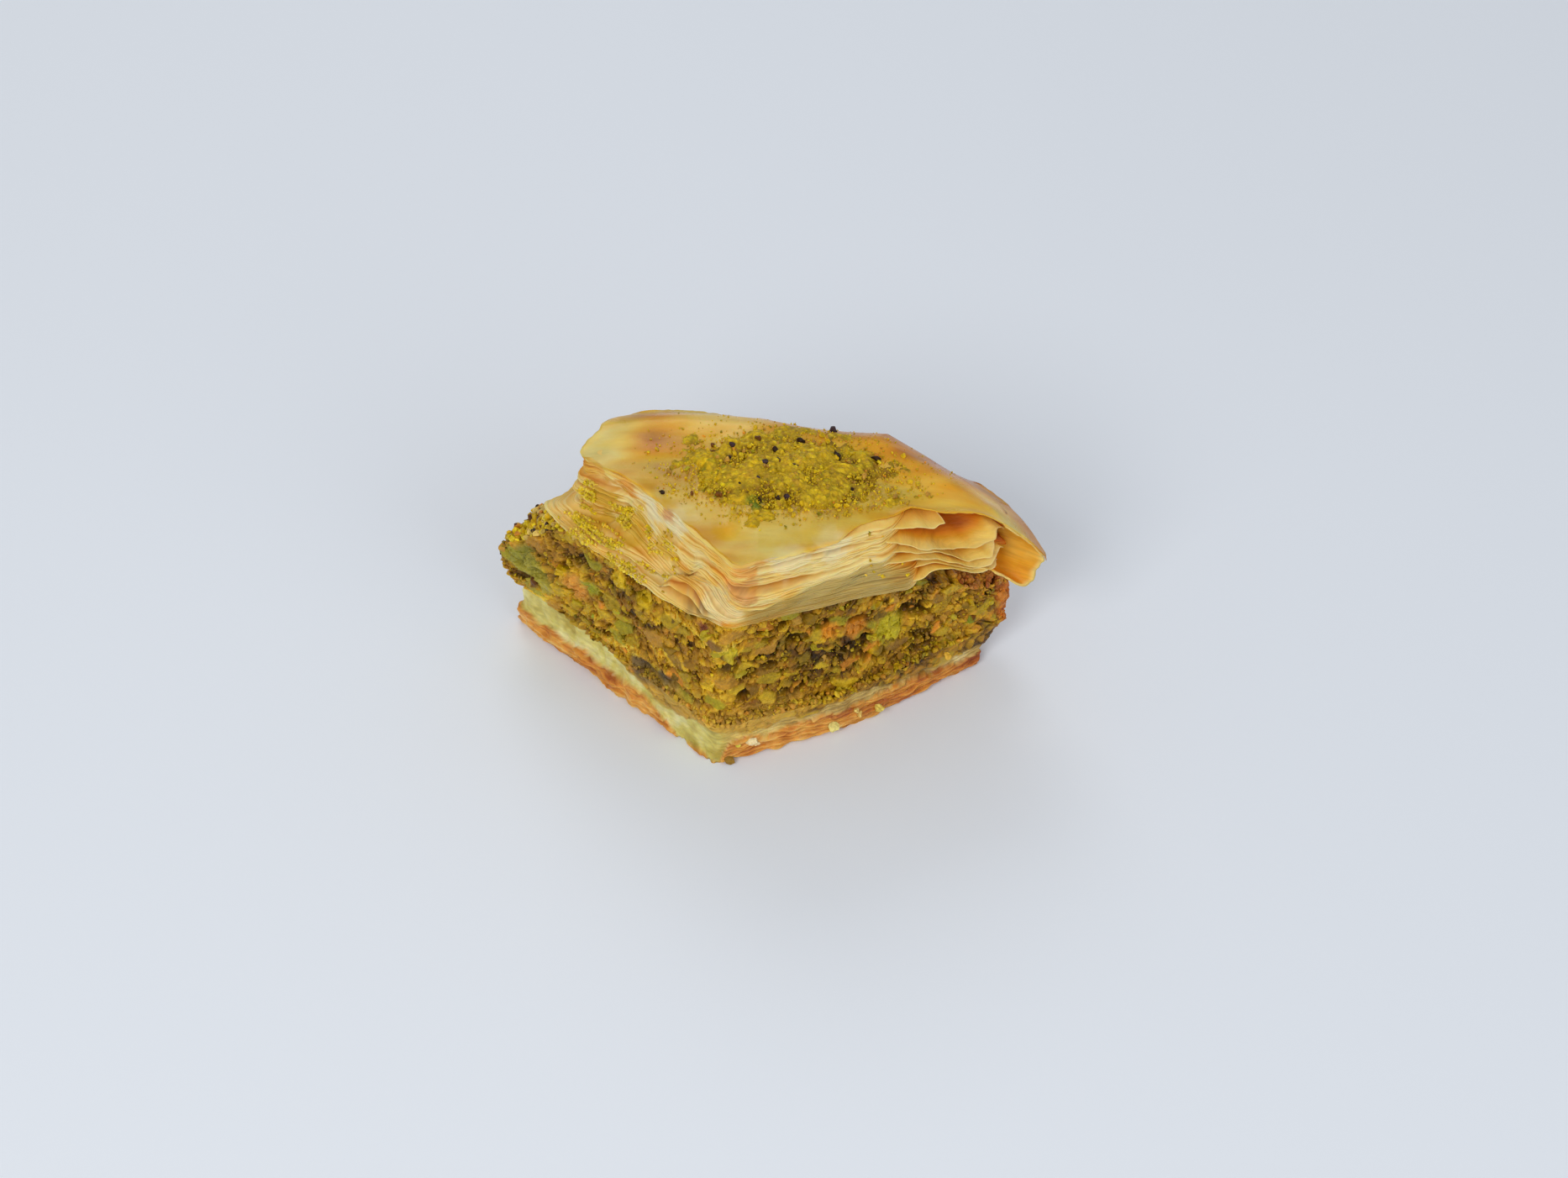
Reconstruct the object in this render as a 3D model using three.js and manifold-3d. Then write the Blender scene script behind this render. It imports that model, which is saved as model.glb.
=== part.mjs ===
// A piece of pistachio baklava from the edge of a tray: a diamond whose far corner the tray cut off.
// Three pieces lie on each other: the bottom pastry, the packed pistachio filling, and the stack of thin
// pastry sheets with ground pistachio on top. Millimetres, +Z up, origin under the middle of the piece.
import * as THREE from "three";
import { mergeVertices } from "three/addons/utils/BufferGeometryUtils.js";
import Module from "manifold-3d";

const wasm = await Module();
wasm.setup();

// Corners in plan, anticlockwise from the left tip: left, front, right, back right, back left.
// The base's foot is drawn in at the back, where the tray's wall curves into its floor.
const BASE_FOOT = [[-34.9, 8.8], [-6.9, -18.7], [10.6, -12.1], [28.9, -0.2], [15.4, 14.6], [-19.4, 15.6]];
const BASE_HEAD = [[-34.9, 8.8], [-6.9, -18.7], [10.6, -12.1], [32.6, 3.2], [17.4, 17.2], [-19.8, 17.6]];
const FILLING_FOOT = [[-35.8, 9.0], [-6.9, -17.4], [10.2, -10.8], [33.4, 4.0], [17.0, 16.6], [-19.6, 17.0]];
const FILLING_HEAD = [[-36.0, 9.4], [-5.2, -16.6], [11.0, -9.4], [33.6, 4.6], [16.4, 15.6], [-18.8, 16.0]];
const STACK_FOOT = [[-30.4, 6.4], [-18.6, -6.8], [-5.4, -18.0], [12.6, -9.9], [34.2, -1.0], [17.0, 16.2], [-18.8, 15.8]];
const STACK_HEAD = [[-25.2, 5.6], [-15.6, -3.0], [-3.8, -17.2], [13.2, -9.4], [38.4, 0.6], [17.2, 16.2], [-18.6, 14.4]];
const CENTRE = [1, 4.4];
const CORNER_ROUNDING = 1.4;
const POINTS_ROUND = 74;

// Heights. The piece is thick at its front corner and falls away to the right.
const BASE_HEIGHT = 7.2;
const BASE_FALL_PER_MM = 0.035;
const FILLING_HEIGHT = 19.65;
const FILLING_FALL_X = 0.119;
const FILLING_FALL_Y = 0.222;
const FILLING_DISH = 0.004; // lifts the filling again towards the back
const FRONT_Y = -17;
const FILLING_SWELL = 1.7; // the most by which the filling swells, between the front corner and the right tip
const SWELL_X = [-4, 34];
const LEFT_CRUMBLE = 9.0; // how far the filling has crumbled down at its two tips
const RIGHT_CRUMBLE = 3.6;
const BACK_CRUMBLE = 5.0;
const TOP_HEIGHT = 35.6;
const TOP_FALL_PER_MM = 0.115;
const CURL_START_X = 21;
const CURL_LENGTH = 16;
const CURL_DROP = 9.4;
const LAYER_GAP = 0.3; // clear space between two pieces that lie on each other

// Pastry sheets: bundles of sheets that show as separate edges. Two bundles make one leaf where they stand open.
const BUNDLES = 10;
const BUNDLE_FILL = 0.66; // share of a bundle's pitch that is pastry
const GROOVE_DEPTH = 1.0;
const LEAF_SHARE = 0.05; // thickness of an opened leaf, as a share of the stack
const POCKET_DEPTH = 6.5;
const POCKET_START_X = 9;
const POCKET_END_X = 23;

// Nuts.
const CRUMB_HEAP = { x: 1.5, y: -1.5, length: 14, width: 9.5, height: 0.9 };
const TOP_CRUMBS = 44;
const LEDGE_CRUMBS = 8;
const FILLING_CHUNKS = 50;

const clamp = THREE.MathUtils.clamp;
const lerp = THREE.MathUtils.lerp;
const smoothstep = THREE.MathUtils.smoothstep;

// A repeatable random draw, the same on every run.
function seededRandom(seed) {
  let state = seed;
  return () => {
    state = (state + 0x6d2b79f5) | 0;
    let mixed = Math.imul(state ^ (state >>> 15), 1 | state);
    mixed = (mixed + Math.imul(mixed ^ (mixed >>> 7), 61 | mixed)) ^ mixed;
    return ((mixed ^ (mixed >>> 14)) >>> 0) / 4294967296;
  };
}

// Smooth lumps of the given size, from -1 to 1, anywhere in space.
function lumps(x, y, z, size, seed) {
  const corner = (i, j, k) => {
    const mixed = Math.sin(i * 127.1 + j * 311.7 + k * 74.7 + seed * 53.3) * 43758.5453;
    return 2 * (mixed - Math.floor(mixed)) - 1;
  };
  const cell = [x, y, z].map((value) => Math.floor(value / size));
  const part = [x, y, z].map((value, axis) => smoothstep(value / size - cell[axis], 0, 1));
  const alongX = (j, k) =>
    lerp(corner(cell[0], cell[1] + j, cell[2] + k), corner(cell[0] + 1, cell[1] + j, cell[2] + k), part[0]);
  return lerp(lerp(alongX(0, 0), alongX(1, 0), part[1]), lerp(alongX(0, 1), alongX(1, 1), part[1]), part[2]);
}

// Height of the bottom pastry's upper face.
function baseTop(x) {
  return BASE_HEIGHT - BASE_FALL_PER_MM * (x + 20);
}

// Height of the gently dished face on which the sheets lie.
function fillingTop(x, y) {
  const along = clamp((x - SWELL_X[0]) / (SWELL_X[1] - SWELL_X[0]), 0, 1);
  const swell = FILLING_SWELL * Math.sin(Math.PI * along);
  const dish = FILLING_DISH * Math.pow(y - FRONT_Y, 2);
  return FILLING_HEIGHT - FILLING_FALL_X * x - FILLING_FALL_Y * y + dish + swell;
}

// Height of the filling itself, which has crumbled away at its left and right tips and along the side between
// the left tip and the back.
function crumbledTop(x, y) {
  const toBackLeft = insideEdge(x, y, FILLING_HEAD[5], FILLING_HEAD[0]);
  const left = Math.max(LEFT_CRUMBLE * smoothstep(-x, 26, 36), BACK_CRUMBLE * (1 - smoothstep(toBackLeft, 0, 5)));
  const right = RIGHT_CRUMBLE * smoothstep(x, 25, 33);
  return fillingTop(x, y) - left - right;
}

// Distance inside the straight line from corner a to corner b.
function insideEdge(x, y, a, b) {
  const edge = new THREE.Vector2(b[0] - a[0], b[1] - a[1]).normalize();
  return edge.x * (y - a[1]) - edge.y * (x - a[0]);
}

// Height of the uppermost sheet: a broad crown, rounded off towards the tray's wall and curled at the tip.
function stackTop(x, y) {
  const [left, , , , right, backRight, backLeft] = STACK_HEAD;
  const fall = TOP_FALL_PER_MM * Math.max(0, x + 1);
  const curl = CURL_DROP * Math.pow(Math.max(0, (x - CURL_START_X) / CURL_LENGTH), 2.3);
  const leftFall = 1.5 * Math.pow(Math.max(0, (-16 - x) / 10), 2);
  const toBack = insideEdge(x, y, backRight, backLeft);
  const toTip = insideEdge(x, y, right, backRight);
  const toLeft = insideEdge(x, y, backLeft, left);
  const reach = lerp(4, 8, smoothstep(x, -20, 18));
  const depth = lerp(2, 6.8, smoothstep(x, -20, 18)) - 5.2 * smoothstep(x, 22, 36);
  const backFall = depth * Math.pow(clamp(1 - Math.min(toBack, toTip) / reach, 0, 1), 1.7);
  const cornerFall = 0.5 * clamp(1 - toLeft / 4, 0, 1);
  const swell = 0.3 * Math.sin(0.21 * x + 0.9) * Math.cos(0.16 * y);
  return TOP_HEIGHT - fall - curl - leftFall - backFall - cornerFall + swell;
}

// The point p moved towards the middle line of the piece by a distance in millimetres.
function inward(p, distance) {
  const middle = new THREE.Vector2(clamp(p.x, -15, 17), CENTRE[1]);
  return p.clone().addScaledVector(middle.sub(p).normalize(), distance);
}

// The point p brought towards the centre of the piece by a share of its distance.
function towardsCentre(p, share) {
  return p.clone().lerp(new THREE.Vector2(...CENTRE), share);
}

// Evenly spaced points round a polygon with rounded corners.
function outline(corners) {
  const points = corners.map(([x, y]) => new THREE.Vector2(x, y));
  const path = new THREE.Path();
  const last = points[points.length - 1];
  path.moveTo((last.x + points[0].x) / 2, (last.y + points[0].y) / 2);
  points.forEach((point, i) => {
    const before = points[(i + points.length - 1) % points.length];
    const after = points[(i + 1) % points.length];
    const enter = point.clone().add(before.clone().sub(point).setLength(CORNER_ROUNDING));
    const leave = point.clone().add(after.clone().sub(point).setLength(CORNER_ROUNDING));
    path.lineTo(enter.x, enter.y);
    path.quadraticCurveTo(point.x, point.y, leave.x, leave.y);
  });
  path.closePath();
  return path.getSpacedPoints(POINTS_ROUND).slice(0, POINTS_ROUND);
}

function blendCorners(from, to, share) {
  return from.map((corner, i) => [lerp(corner[0], to[i][0], share), lerp(corner[1], to[i][1], share)]);
}

// A closed body whose skin runs through rings of equal count, from the lowest to the highest, to a point at each end.
function ringBody(rings, lowEnd, highEnd) {
  const count = rings[0].length;
  const positions = [...rings.flat(), lowEnd, highEnd].flatMap((p) => [p.x, p.y, p.z]);
  const index = [];
  const at = (level, i) => level * count + (i % count);
  const lowIndex = rings.length * count;
  for (let i = 0; i < count; i += 1) {
    for (let level = 0; level + 1 < rings.length; level += 1) {
      index.push(at(level, i), at(level, i + 1), at(level + 1, i + 1));
      index.push(at(level, i), at(level + 1, i + 1), at(level + 1, i));
    }
    index.push(lowIndex, at(0, i + 1), at(0, i));
    index.push(lowIndex + 1, at(rings.length - 1, i), at(rings.length - 1, i + 1));
  }
  const geometry = new THREE.BufferGeometry();
  geometry.setAttribute("position", new THREE.Float32BufferAttribute(positions, 3));
  geometry.setIndex(index);
  return geometry;
}

// The rings of a face that runs from an edge in to the centre, at the heights that heightAt gives.
function faceRings(edge, shares, heightAt) {
  return shares.map((share) =>
    edge.map((p) => {
      const q = towardsCentre(p, share);
      return new THREE.Vector3(q.x, q.y, heightAt(q.x, q.y));
    }),
  );
}

function centrePoint(heightAt) {
  return new THREE.Vector3(...CENTRE, heightAt(...CENTRE));
}

function toSolid(geometry) {
  const bare = geometry.clone();
  bare.deleteAttribute("normal");
  bare.deleteAttribute("uv");
  const merged = mergeVertices(bare, 1e-4);
  return new wasm.Manifold(
    new wasm.Mesh({
      numProp: 3,
      vertProperties: new Float32Array(merged.attributes.position.array),
      triVerts: new Uint32Array(merged.index.array),
    }),
  );
}

function toGeometry(solid) {
  const mesh = solid.getMesh();
  const geometry = new THREE.BufferGeometry();
  geometry.setAttribute("position", new THREE.Float32BufferAttribute(mesh.vertProperties, 3));
  geometry.setIndex([...mesh.triVerts]);
  return geometry;
}

// An angular fragment of nut: an icosahedron, stretched, turned and knocked about.
function nutFragment(centre, size, random) {
  const bare = new THREE.IcosahedronGeometry(size / 2, 0);
  bare.deleteAttribute("normal");
  bare.deleteAttribute("uv");
  const merged = mergeVertices(bare);
  const position = merged.attributes.position;
  for (let i = 0; i < position.count; i += 1) {
    const knock = 0.78 + 0.44 * random();
    position.setXYZ(i, position.getX(i) * knock * 1.25, position.getY(i) * knock, position.getZ(i) * knock * 0.8);
  }
  const turn = new THREE.Euler(random() * Math.PI, random() * Math.PI, random() * Math.PI);
  merged.applyMatrix4(new THREE.Matrix4().makeRotationFromEuler(turn));
  merged.translate(centre.x, centre.y, centre.z);
  return toSolid(merged);
}

// The bottom pastry: soaked sheets over a browned crust, its edge in low ledges.
function bottomPhyllo() {
  const ledges = [
    [0.0, -1.0], [0.08, 0.0], [0.16, 0.4], [0.24, 0.0], [0.34, 0.35], [0.44, -0.3],
    [0.56, 0.1], [0.68, -0.4], [0.82, 0.0], [1.0, -0.6],
  ];
  const rings = ledges.map(([share, out], level) =>
    outline(blendCorners(BASE_FOOT, BASE_HEAD, share)).map((p) => {
      const uneven = 0.45 * lumps(p.x, p.y, share * 5, 3.1, 1) + 0.2 * lumps(p.x, p.y, level, 1.6, 2);
      const moved = inward(p, -(out + uneven));
      return new THREE.Vector3(moved.x, moved.y, baseTop(moved.x) * share);
    }),
  );
  return ringBody(rings, centrePoint(() => 0), centrePoint(baseTop));
}

// The filling: packed chopped pistachio with a craggy side, crumbled down at its left and right tips.
function pistachioFilling() {
  const levels = 9;
  const floorAt = (x) => baseTop(x) + LAYER_GAP;
  const rings = [];
  for (let level = 0; level <= levels; level += 1) {
    const share = level / levels;
    rings.push(
      outline(blendCorners(FILLING_FOOT, FILLING_HEAD, share)).map((p) => {
        const leftBulge = 1.2 * smoothstep(-p.x, 20, 34) * Math.sin(Math.PI * share);
        const z = lerp(floorAt(p.x), crumbledTop(p.x, p.y), share);
        const crag = 0.85 * lumps(p.x, p.y, z, 2.6, 3) + 0.5 * lumps(p.x, p.y, z, 1.3, 4);
        const moved = inward(p, -leftBulge - (level === 0 || level === levels ? -0.5 : crag));
        const height = lerp(floorAt(moved.x), crumbledTop(moved.x, moved.y), share);
        return new THREE.Vector3(moved.x, moved.y, height);
      }),
    );
  }
  const rim = rings[levels].map((p) => new THREE.Vector2(p.x, p.y));
  rings.push(...faceRings(rim, [0.08, 0.18, 0.32, 0.6], crumbledTop));

  const random = seededRandom(11);
  const chunks = [];
  while (chunks.length < FILLING_CHUNKS) {
    const spot = rings[1 + Math.floor(random() * (levels - 1))][Math.floor(random() * POINTS_ROUND)];
    const size = 1.8 + 2.4 * Math.pow(random(), 2);
    const roomBelow = spot.z - floorAt(spot.x);
    const roomAbove = fillingTop(spot.x, spot.y) - spot.z;
    if (Math.min(roomBelow, roomAbove) > 0.8 * size) {
      const seat = inward(new THREE.Vector2(spot.x, spot.y), 0.25 * size);
      chunks.push(nutFragment(new THREE.Vector3(seat.x, seat.y, spot.z), size, random));
    }
  }
  const body = toSolid(ringBody(rings, centrePoint(floorAt), centrePoint(crumbledTop)));
  return toGeometry(chunks.reduce((whole, chunk) => whole.add(chunk), body));
}

// How far the sheets stand open at a place in plan: closed over most of the piece, open at the right tip's front.
function openness(x, y) {
  const fromFront = insideEdge(x, y, STACK_HEAD[2], STACK_HEAD[4]);
  return smoothstep(x, POCKET_START_X, POCKET_END_X) * (1 - smoothstep(fromFront, 3, 7));
}

// The stack's outline at a share of its height. The left side leans back over the lower sheets alone.
function stackOutline(share) {
  return outline(blendCorners(STACK_FOOT, STACK_HEAD, smoothstep(share, -0.12, 0.5)));
}

function stackHeight(x, y, share) {
  return lerp(fillingTop(x, y) + LAYER_GAP, stackTop(x, y), share);
}

// The share of the stack's height at which a bundle's lower or upper edge lies. Closed bundles are evenly spaced.
// In an opened leaf, two bundles close up round the leaf's own middle.
function bundleShare(bundle, upper, opened) {
  const pitch = 1 / BUNDLES;
  const closed = (bundle + (upper ? BUNDLE_FILL : 0)) * pitch;
  const isTopOfLeaf = bundle % 2 === 1;
  const leaf = Math.floor(bundle / 2) / (BUNDLES / 2 - 1);
  const side = isTopOfLeaf ? (upper ? 1 : 0.15) : upper ? -0.15 : -1;
  const last = bundle === BUNDLES - 1 && upper;
  const ofLeaf = lerp(LEAF_SHARE / 2, 1 - LEAF_SHARE / 2, leaf) + (side * LEAF_SHARE) / 2;
  return last ? 1 : lerp(closed, ofLeaf, opened);
}

// The height of the top face, with the heap of ground nuts on it.
function toppedHeight(x, y) {
  const fromHeap = Math.hypot((x - CRUMB_HEAP.x) / CRUMB_HEAP.length, (y - CRUMB_HEAP.y) / CRUMB_HEAP.width);
  return stackHeight(x, y, 1) + CRUMB_HEAP.height * (1 - smoothstep(fromHeap, 0.2, 1.1)) + 0.12 * lumps(x, y, 0, 3, 8);
}

function stackRings() {
  const ringAt = (share, bundle, upper, distanceAt) =>
    stackOutline(share).map((p) => {
      const opened = openness(p.x, p.y);
      const moved = inward(p, distanceAt(p, opened));
      const wave = 0.04 * opened * lumps(p.x, p.y, Math.floor(bundle / 2) * 9, 3.5, 9);
      const height = stackHeight(moved.x, moved.y, Math.max(0, bundleShare(bundle, upper, opened) + wave));
      return new THREE.Vector3(moved.x, moved.y, height);
    });
  const rings = [];
  for (let bundle = 0; bundle < BUNDLES; bundle += 1) {
    const share = bundle / BUNDLES;
    const edgeDistance = (p, opened) => {
      const uneven = 0.55 * lumps(p.x, p.y, bundle * 9, 6.5, 5) + 0.35 * lumps(p.x, p.y, bundle * 7, 2.4, 6);
      return 0.4 - uneven + 0.5 * opened * lumps(p.x, p.y, bundle * 4, 8, 10);
    };
    const grooveDistance = (p, opened) => {
      const pocket = POCKET_DEPTH * opened * (bundle % 2 === 1 ? 1 : 0.1);
      return 0.5 + GROOVE_DEPTH + 0.4 * lumps(p.x, p.y, bundle * 5, 4, 7) + pocket;
    };
    rings.push(ringAt(share, bundle, false, edgeDistance), ringAt(share, bundle, true, edgeDistance));
    if (bundle + 1 < BUNDLES) {
      const under = ringAt(share, bundle, true, grooveDistance);
      const over = ringAt(share, bundle + 1, false, grooveDistance);
      rings.push(under.map((p, i) => p.clone().lerp(over[i], 0.5)));
    }
  }
  return rings;
}

// The top pastry: bundles of sheets with grooves between, opened at the right tip, and the nuts on them.
function topPhyllo() {
  const undersideAt = (x, y) => stackHeight(x, y, 0);
  const sides = stackRings();
  const plan = (ring) => ring.map((p) => new THREE.Vector2(p.x, p.y));
  const underside = faceRings(plan(sides[0]), [0.65, 0.3], undersideAt);
  const topFace = faceRings(plan(sides[sides.length - 1]), [0.04, 0.12, 0.24, 0.4, 0.6, 0.8], toppedHeight);
  const body = ringBody([...underside, ...sides, ...topFace], centrePoint(undersideAt), centrePoint(toppedHeight));

  const random = seededRandom(29);
  const spread = () => random() + random() + random() - 1.5;
  const crumbs = [];
  for (let i = 0; i < TOP_CRUMBS; i += 1) {
    const x = CRUMB_HEAP.x + 0.85 * CRUMB_HEAP.length * spread();
    const y = CRUMB_HEAP.y + 0.85 * CRUMB_HEAP.width * spread();
    const size = 1.0 + 1.1 * Math.pow(random(), 2);
    crumbs.push(nutFragment(new THREE.Vector3(x, y, toppedHeight(x, y) + 0.12 * size), size, random));
  }
  const ledge = sides[6];
  for (let i = 0; i < LEDGE_CRUMBS; i += 1) {
    const spot = ledge[5 + Math.floor((15 * (i + random())) / LEDGE_CRUMBS)];
    crumbs.push(nutFragment(spot, 1.1 + 0.6 * random(), random));
  }
  return toGeometry(crumbs.reduce((whole, crumb) => whole.add(crumb), toSolid(body)));
}

function named(name, geometry, color, roughness) {
  const material = new THREE.MeshStandardMaterial({ color, roughness, metalness: 0 });
  geometry.computeVertexNormals();
  const mesh = new THREE.Mesh(geometry, material);
  mesh.name = name;
  return mesh;
}

const baklava = new THREE.Group();
baklava.add(named("bottom_phyllo", bottomPhyllo(), 0xd9a050, 0.55));
baklava.add(named("pistachio_filling", pistachioFilling(), 0x9c8a34, 0.75));
baklava.add(named("top_phyllo", topPhyllo(), 0xe6b964, 0.45));

export default baklava;
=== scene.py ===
# The looks of a piece of pistachio baklava: a soaked base over a browned crust, a packed nut
# filling, a stack of thin pastry sheets that opens into leaves at its right tip, and ground
# pistachio on top. Shapes are worked out in millimetres and put into the scene in metres.
import math

import bmesh
import bpy
import numpy as np
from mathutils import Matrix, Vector


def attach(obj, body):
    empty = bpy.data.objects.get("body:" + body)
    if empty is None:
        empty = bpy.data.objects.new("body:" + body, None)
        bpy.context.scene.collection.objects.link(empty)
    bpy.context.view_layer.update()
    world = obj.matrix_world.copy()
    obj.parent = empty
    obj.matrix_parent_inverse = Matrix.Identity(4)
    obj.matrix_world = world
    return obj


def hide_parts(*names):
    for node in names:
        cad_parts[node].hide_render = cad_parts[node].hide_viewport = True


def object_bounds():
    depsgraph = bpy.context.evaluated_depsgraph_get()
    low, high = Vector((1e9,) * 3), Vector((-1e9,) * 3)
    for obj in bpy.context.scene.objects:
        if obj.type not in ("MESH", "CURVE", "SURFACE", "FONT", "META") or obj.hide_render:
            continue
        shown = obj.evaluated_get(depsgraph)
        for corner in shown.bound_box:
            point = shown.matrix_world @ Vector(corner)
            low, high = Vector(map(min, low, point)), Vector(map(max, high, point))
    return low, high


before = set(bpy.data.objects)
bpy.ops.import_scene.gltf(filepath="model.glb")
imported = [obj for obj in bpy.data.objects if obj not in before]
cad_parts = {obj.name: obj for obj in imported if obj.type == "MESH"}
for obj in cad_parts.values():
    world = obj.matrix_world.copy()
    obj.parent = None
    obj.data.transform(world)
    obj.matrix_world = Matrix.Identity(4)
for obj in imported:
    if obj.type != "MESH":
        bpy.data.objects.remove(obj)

cad_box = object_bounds()
MM = 0.001
BOX_LOW, BOX_HIGH = (np.array(corner) / MM for corner in cad_box)

# Corners in plan, anticlockwise from the left tip, as in the solids.
BASE_FOOT = [[-34.9, 8.8], [-6.9, -18.7], [10.6, -12.1], [28.9, -0.2], [15.4, 14.6], [-19.4, 15.6]]
BASE_HEAD = [[-34.9, 8.8], [-6.9, -18.7], [10.6, -12.1], [32.6, 3.2], [17.4, 17.2], [-19.8, 17.6]]
FILLING_FOOT = [[-35.8, 9.0], [-6.9, -17.4], [10.2, -10.8], [33.4, 4.0], [17.0, 16.6], [-19.6, 17.0]]
FILLING_HEAD = [[-36.0, 9.4], [-5.2, -16.6], [11.0, -9.4], [33.6, 4.6], [16.4, 15.6], [-18.8, 16.0]]
STACK_FOOT = [[-30.4, 6.4], [-18.6, -6.8], [-5.4, -18.0], [12.6, -9.9], [34.2, -1.0], [17.0, 16.2],
              [-18.8, 15.8]]
STACK_HEAD = [[-25.2, 5.6], [-15.6, -3.0], [-3.8, -17.2], [13.2, -9.4], [38.4, 0.6], [17.2, 16.2],
              [-18.6, 14.4]]
CENTRE = np.array([1.0, 4.4])
SPINE = (-15.0, 17.0)
CORNER_ROUNDING = 1.4
LAYER_GAP = 0.3

# How finely the meshes are divided: points round each, and rings up, in or along it.
BASE_GRID = (620, 58)
FILLING_GRID = (820, 82)
DUST_GRID = (430, 86)
ROLL_GRID = (130, 24)
STACK_POINTS = 760
TOP_SHEET_POINTS = 620

# Sheets of pastry.
SHEETS = 36
SHEET_THICKNESS = 0.17
TOP_SHEET_THICKNESS = 0.16
LEAF_THICKNESS = 0.2
POCKET_DEPTH = 6.5
POCKET_X = (14.5, 22.0)

# The outer sheets rolled round the right tip: the roll's section at its mouth, as places along X
# and heights, from under the top sheet round the tip and back under the leaves.
ROLL_SECTION = np.array([(31.6, 27.8), (33.8, 25.8), (36.2, 23.6), (37.0, 22.2), (36.8, 20.2),
                         (36.0, 18.0), (34.7, 16.0), (33.3, 17.0), (31.9, 18.6), (30.4, 19.9)])
ROLL_MIDDLE = np.array([33.4, 21.6])
ROLL_WAY = np.array([-0.8, 0.6, 0.05])
ROLL_LENGTH = 6.0
ROLL_WALL = 0.4

# Where the edges of the open leaves run at the right tip: shares of the stack's height at places
# along X.
LEAF_STATIONS = (8, 18, 24, 28, 31, 34, 37)
LEAF_EDGES = (
    (0.92, 0.94, 0.95, 0.96, 0.96, 0.90, 0.70),
    (0.84, 0.72, 0.56, 0.60, 0.82, 0.86, 0.62),
    (0.66, 0.60, 0.44, 0.42, 0.50, 0.74, 0.55),
    (0.58, 0.52, 0.40, 0.30, 0.30, 0.50, 0.45),
    (0.50, 0.44, 0.34, 0.24, 0.22, 0.28, 0.34),
    (0.38, 0.32, 0.26, 0.20, 0.18, 0.20, 0.24),
)

# How far each leaf's right end stands back from the tip.
LEAF_SHORT = (3.0, 3.4, 4.8, 3.0, 3.8, 5.0)

# Nuts on top.
HEAP_MIDDLE = np.array([3.0, 0.2])
HEAP_SIZE = np.array([16.5, 9.2])
HEAP_HEIGHT = 0.9
# The edges of the top, each with how far the nuts keep from it.
NUT_MARGINS = (1.2, 1.2, 3.6, 3.6, 1.2, 1.2, 1.2)
TOP_EDGES = list(zip(STACK_HEAD, STACK_HEAD[1:] + STACK_HEAD[:1], NUT_MARGINS))


def srgb(red, green, blue):
    """A colour in a screen's steps from 0 to 255, as linear light."""
    part = np.array([red, green, blue]) / 255
    return np.where(part <= 0.04045, part / 12.92, ((part + 0.055) / 1.055) ** 2.4)


CREAM = srgb(255, 226, 150)
PALE = srgb(252, 204, 104)
GOLD = srgb(236, 162, 46)
AMBER = srgb(222, 128, 34)
TOASTED = srgb(168, 84, 22)
SOAKED = srgb(177, 149, 78)

YELLOW = srgb(208, 168, 14)
BRIGHT_YELLOW = srgb(236, 204, 30)
GREEN = srgb(160, 150, 22)
BRIGHT_GREEN = srgb(152, 162, 30)
OLIVE = srgb(134, 102, 14)
TAN = srgb(194, 146, 52)
ORANGE = srgb(226, 148, 42)
BROWN = srgb(112, 66, 14)
DARK = srgb(48, 26, 10)
PURPLE = srgb(66, 44, 48)
RED = srgb(112, 34, 28)
SLATE = srgb(64, 62, 66)


def step(low, high, value):
    """Smooth step from 0 at low to 1 at high."""
    share = np.clip((value - low) / (high - low), 0, 1)
    return share * share * (3 - 2 * share)


def fall(low, high, value):
    """Smooth step from 1 at low to 0 at high."""
    return 1 - step(low, high, value)


def mix(a, b, share):
    return a + (b - a) * share


def tinted(colours, other, share):
    """Colours (..., 3) mixed with another colour by shares (...)."""
    return mix(colours, other, np.asarray(share)[..., None])


def shaded(amount, stops):
    """Colours along a scale of (place, colour) stops."""
    places, colours = zip(*stops)
    return np.stack([np.interp(amount, places, part) for part in zip(*colours)], -1)


def picked(palette, number):
    """The palette's colour for each number from 0 to 1. A palette is rows of (colour, share)."""
    edges = np.cumsum([share for _, share in palette])
    chosen = np.minimum(np.searchsorted(edges / edges[-1], number), len(palette) - 1)
    return np.array([colour for colour, _ in palette])[chosen]


def hashed(cells, seed):
    """A repeatable number from 0 to 1 for each whole-number cell (N, 3)."""
    mixed = cells[:, 0] * 73856093 ^ cells[:, 1] * 19349663 ^ cells[:, 2] * 83492791
    mixed = mixed ^ (seed * 2654435761 & 0xFFFFFFFF)
    mixed = (mixed ^ (mixed >> 15)) * 2246822519 & 0xFFFFFFFF
    mixed = (mixed ^ (mixed >> 13)) * 3266489917 & 0xFFFFFFFF
    return ((mixed ^ (mixed >> 16)) & 0xFFFFFF) / 0xFFFFFF


def lumps(x, y, z, size, seed):
    """Smooth lumps from -1 to 1, of the given size in millimetres. The last argument is the seed."""
    x, y, z = np.broadcast_arrays(x, y, z)
    place = np.stack([x, y, z], -1).reshape(-1, 3) / size
    cell = np.floor(place).astype(np.int64)
    part = place - cell
    part = part * part * (3 - 2 * part)
    total = np.zeros(len(place))
    for corner in np.ndindex(2, 2, 2):
        weight = np.prod(np.where(corner, part, 1 - part), axis=1)
        total += weight * (2 * hashed(cell + corner, seed) - 1)
    return total.reshape(x.shape)


def rough(x, y, z, size, seed, octaves=3):
    """Lumps with finer lumps on them."""
    return sum(lumps(x, y, z, size / 2**k, seed + k) / 2**k for k in range(octaves))


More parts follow.
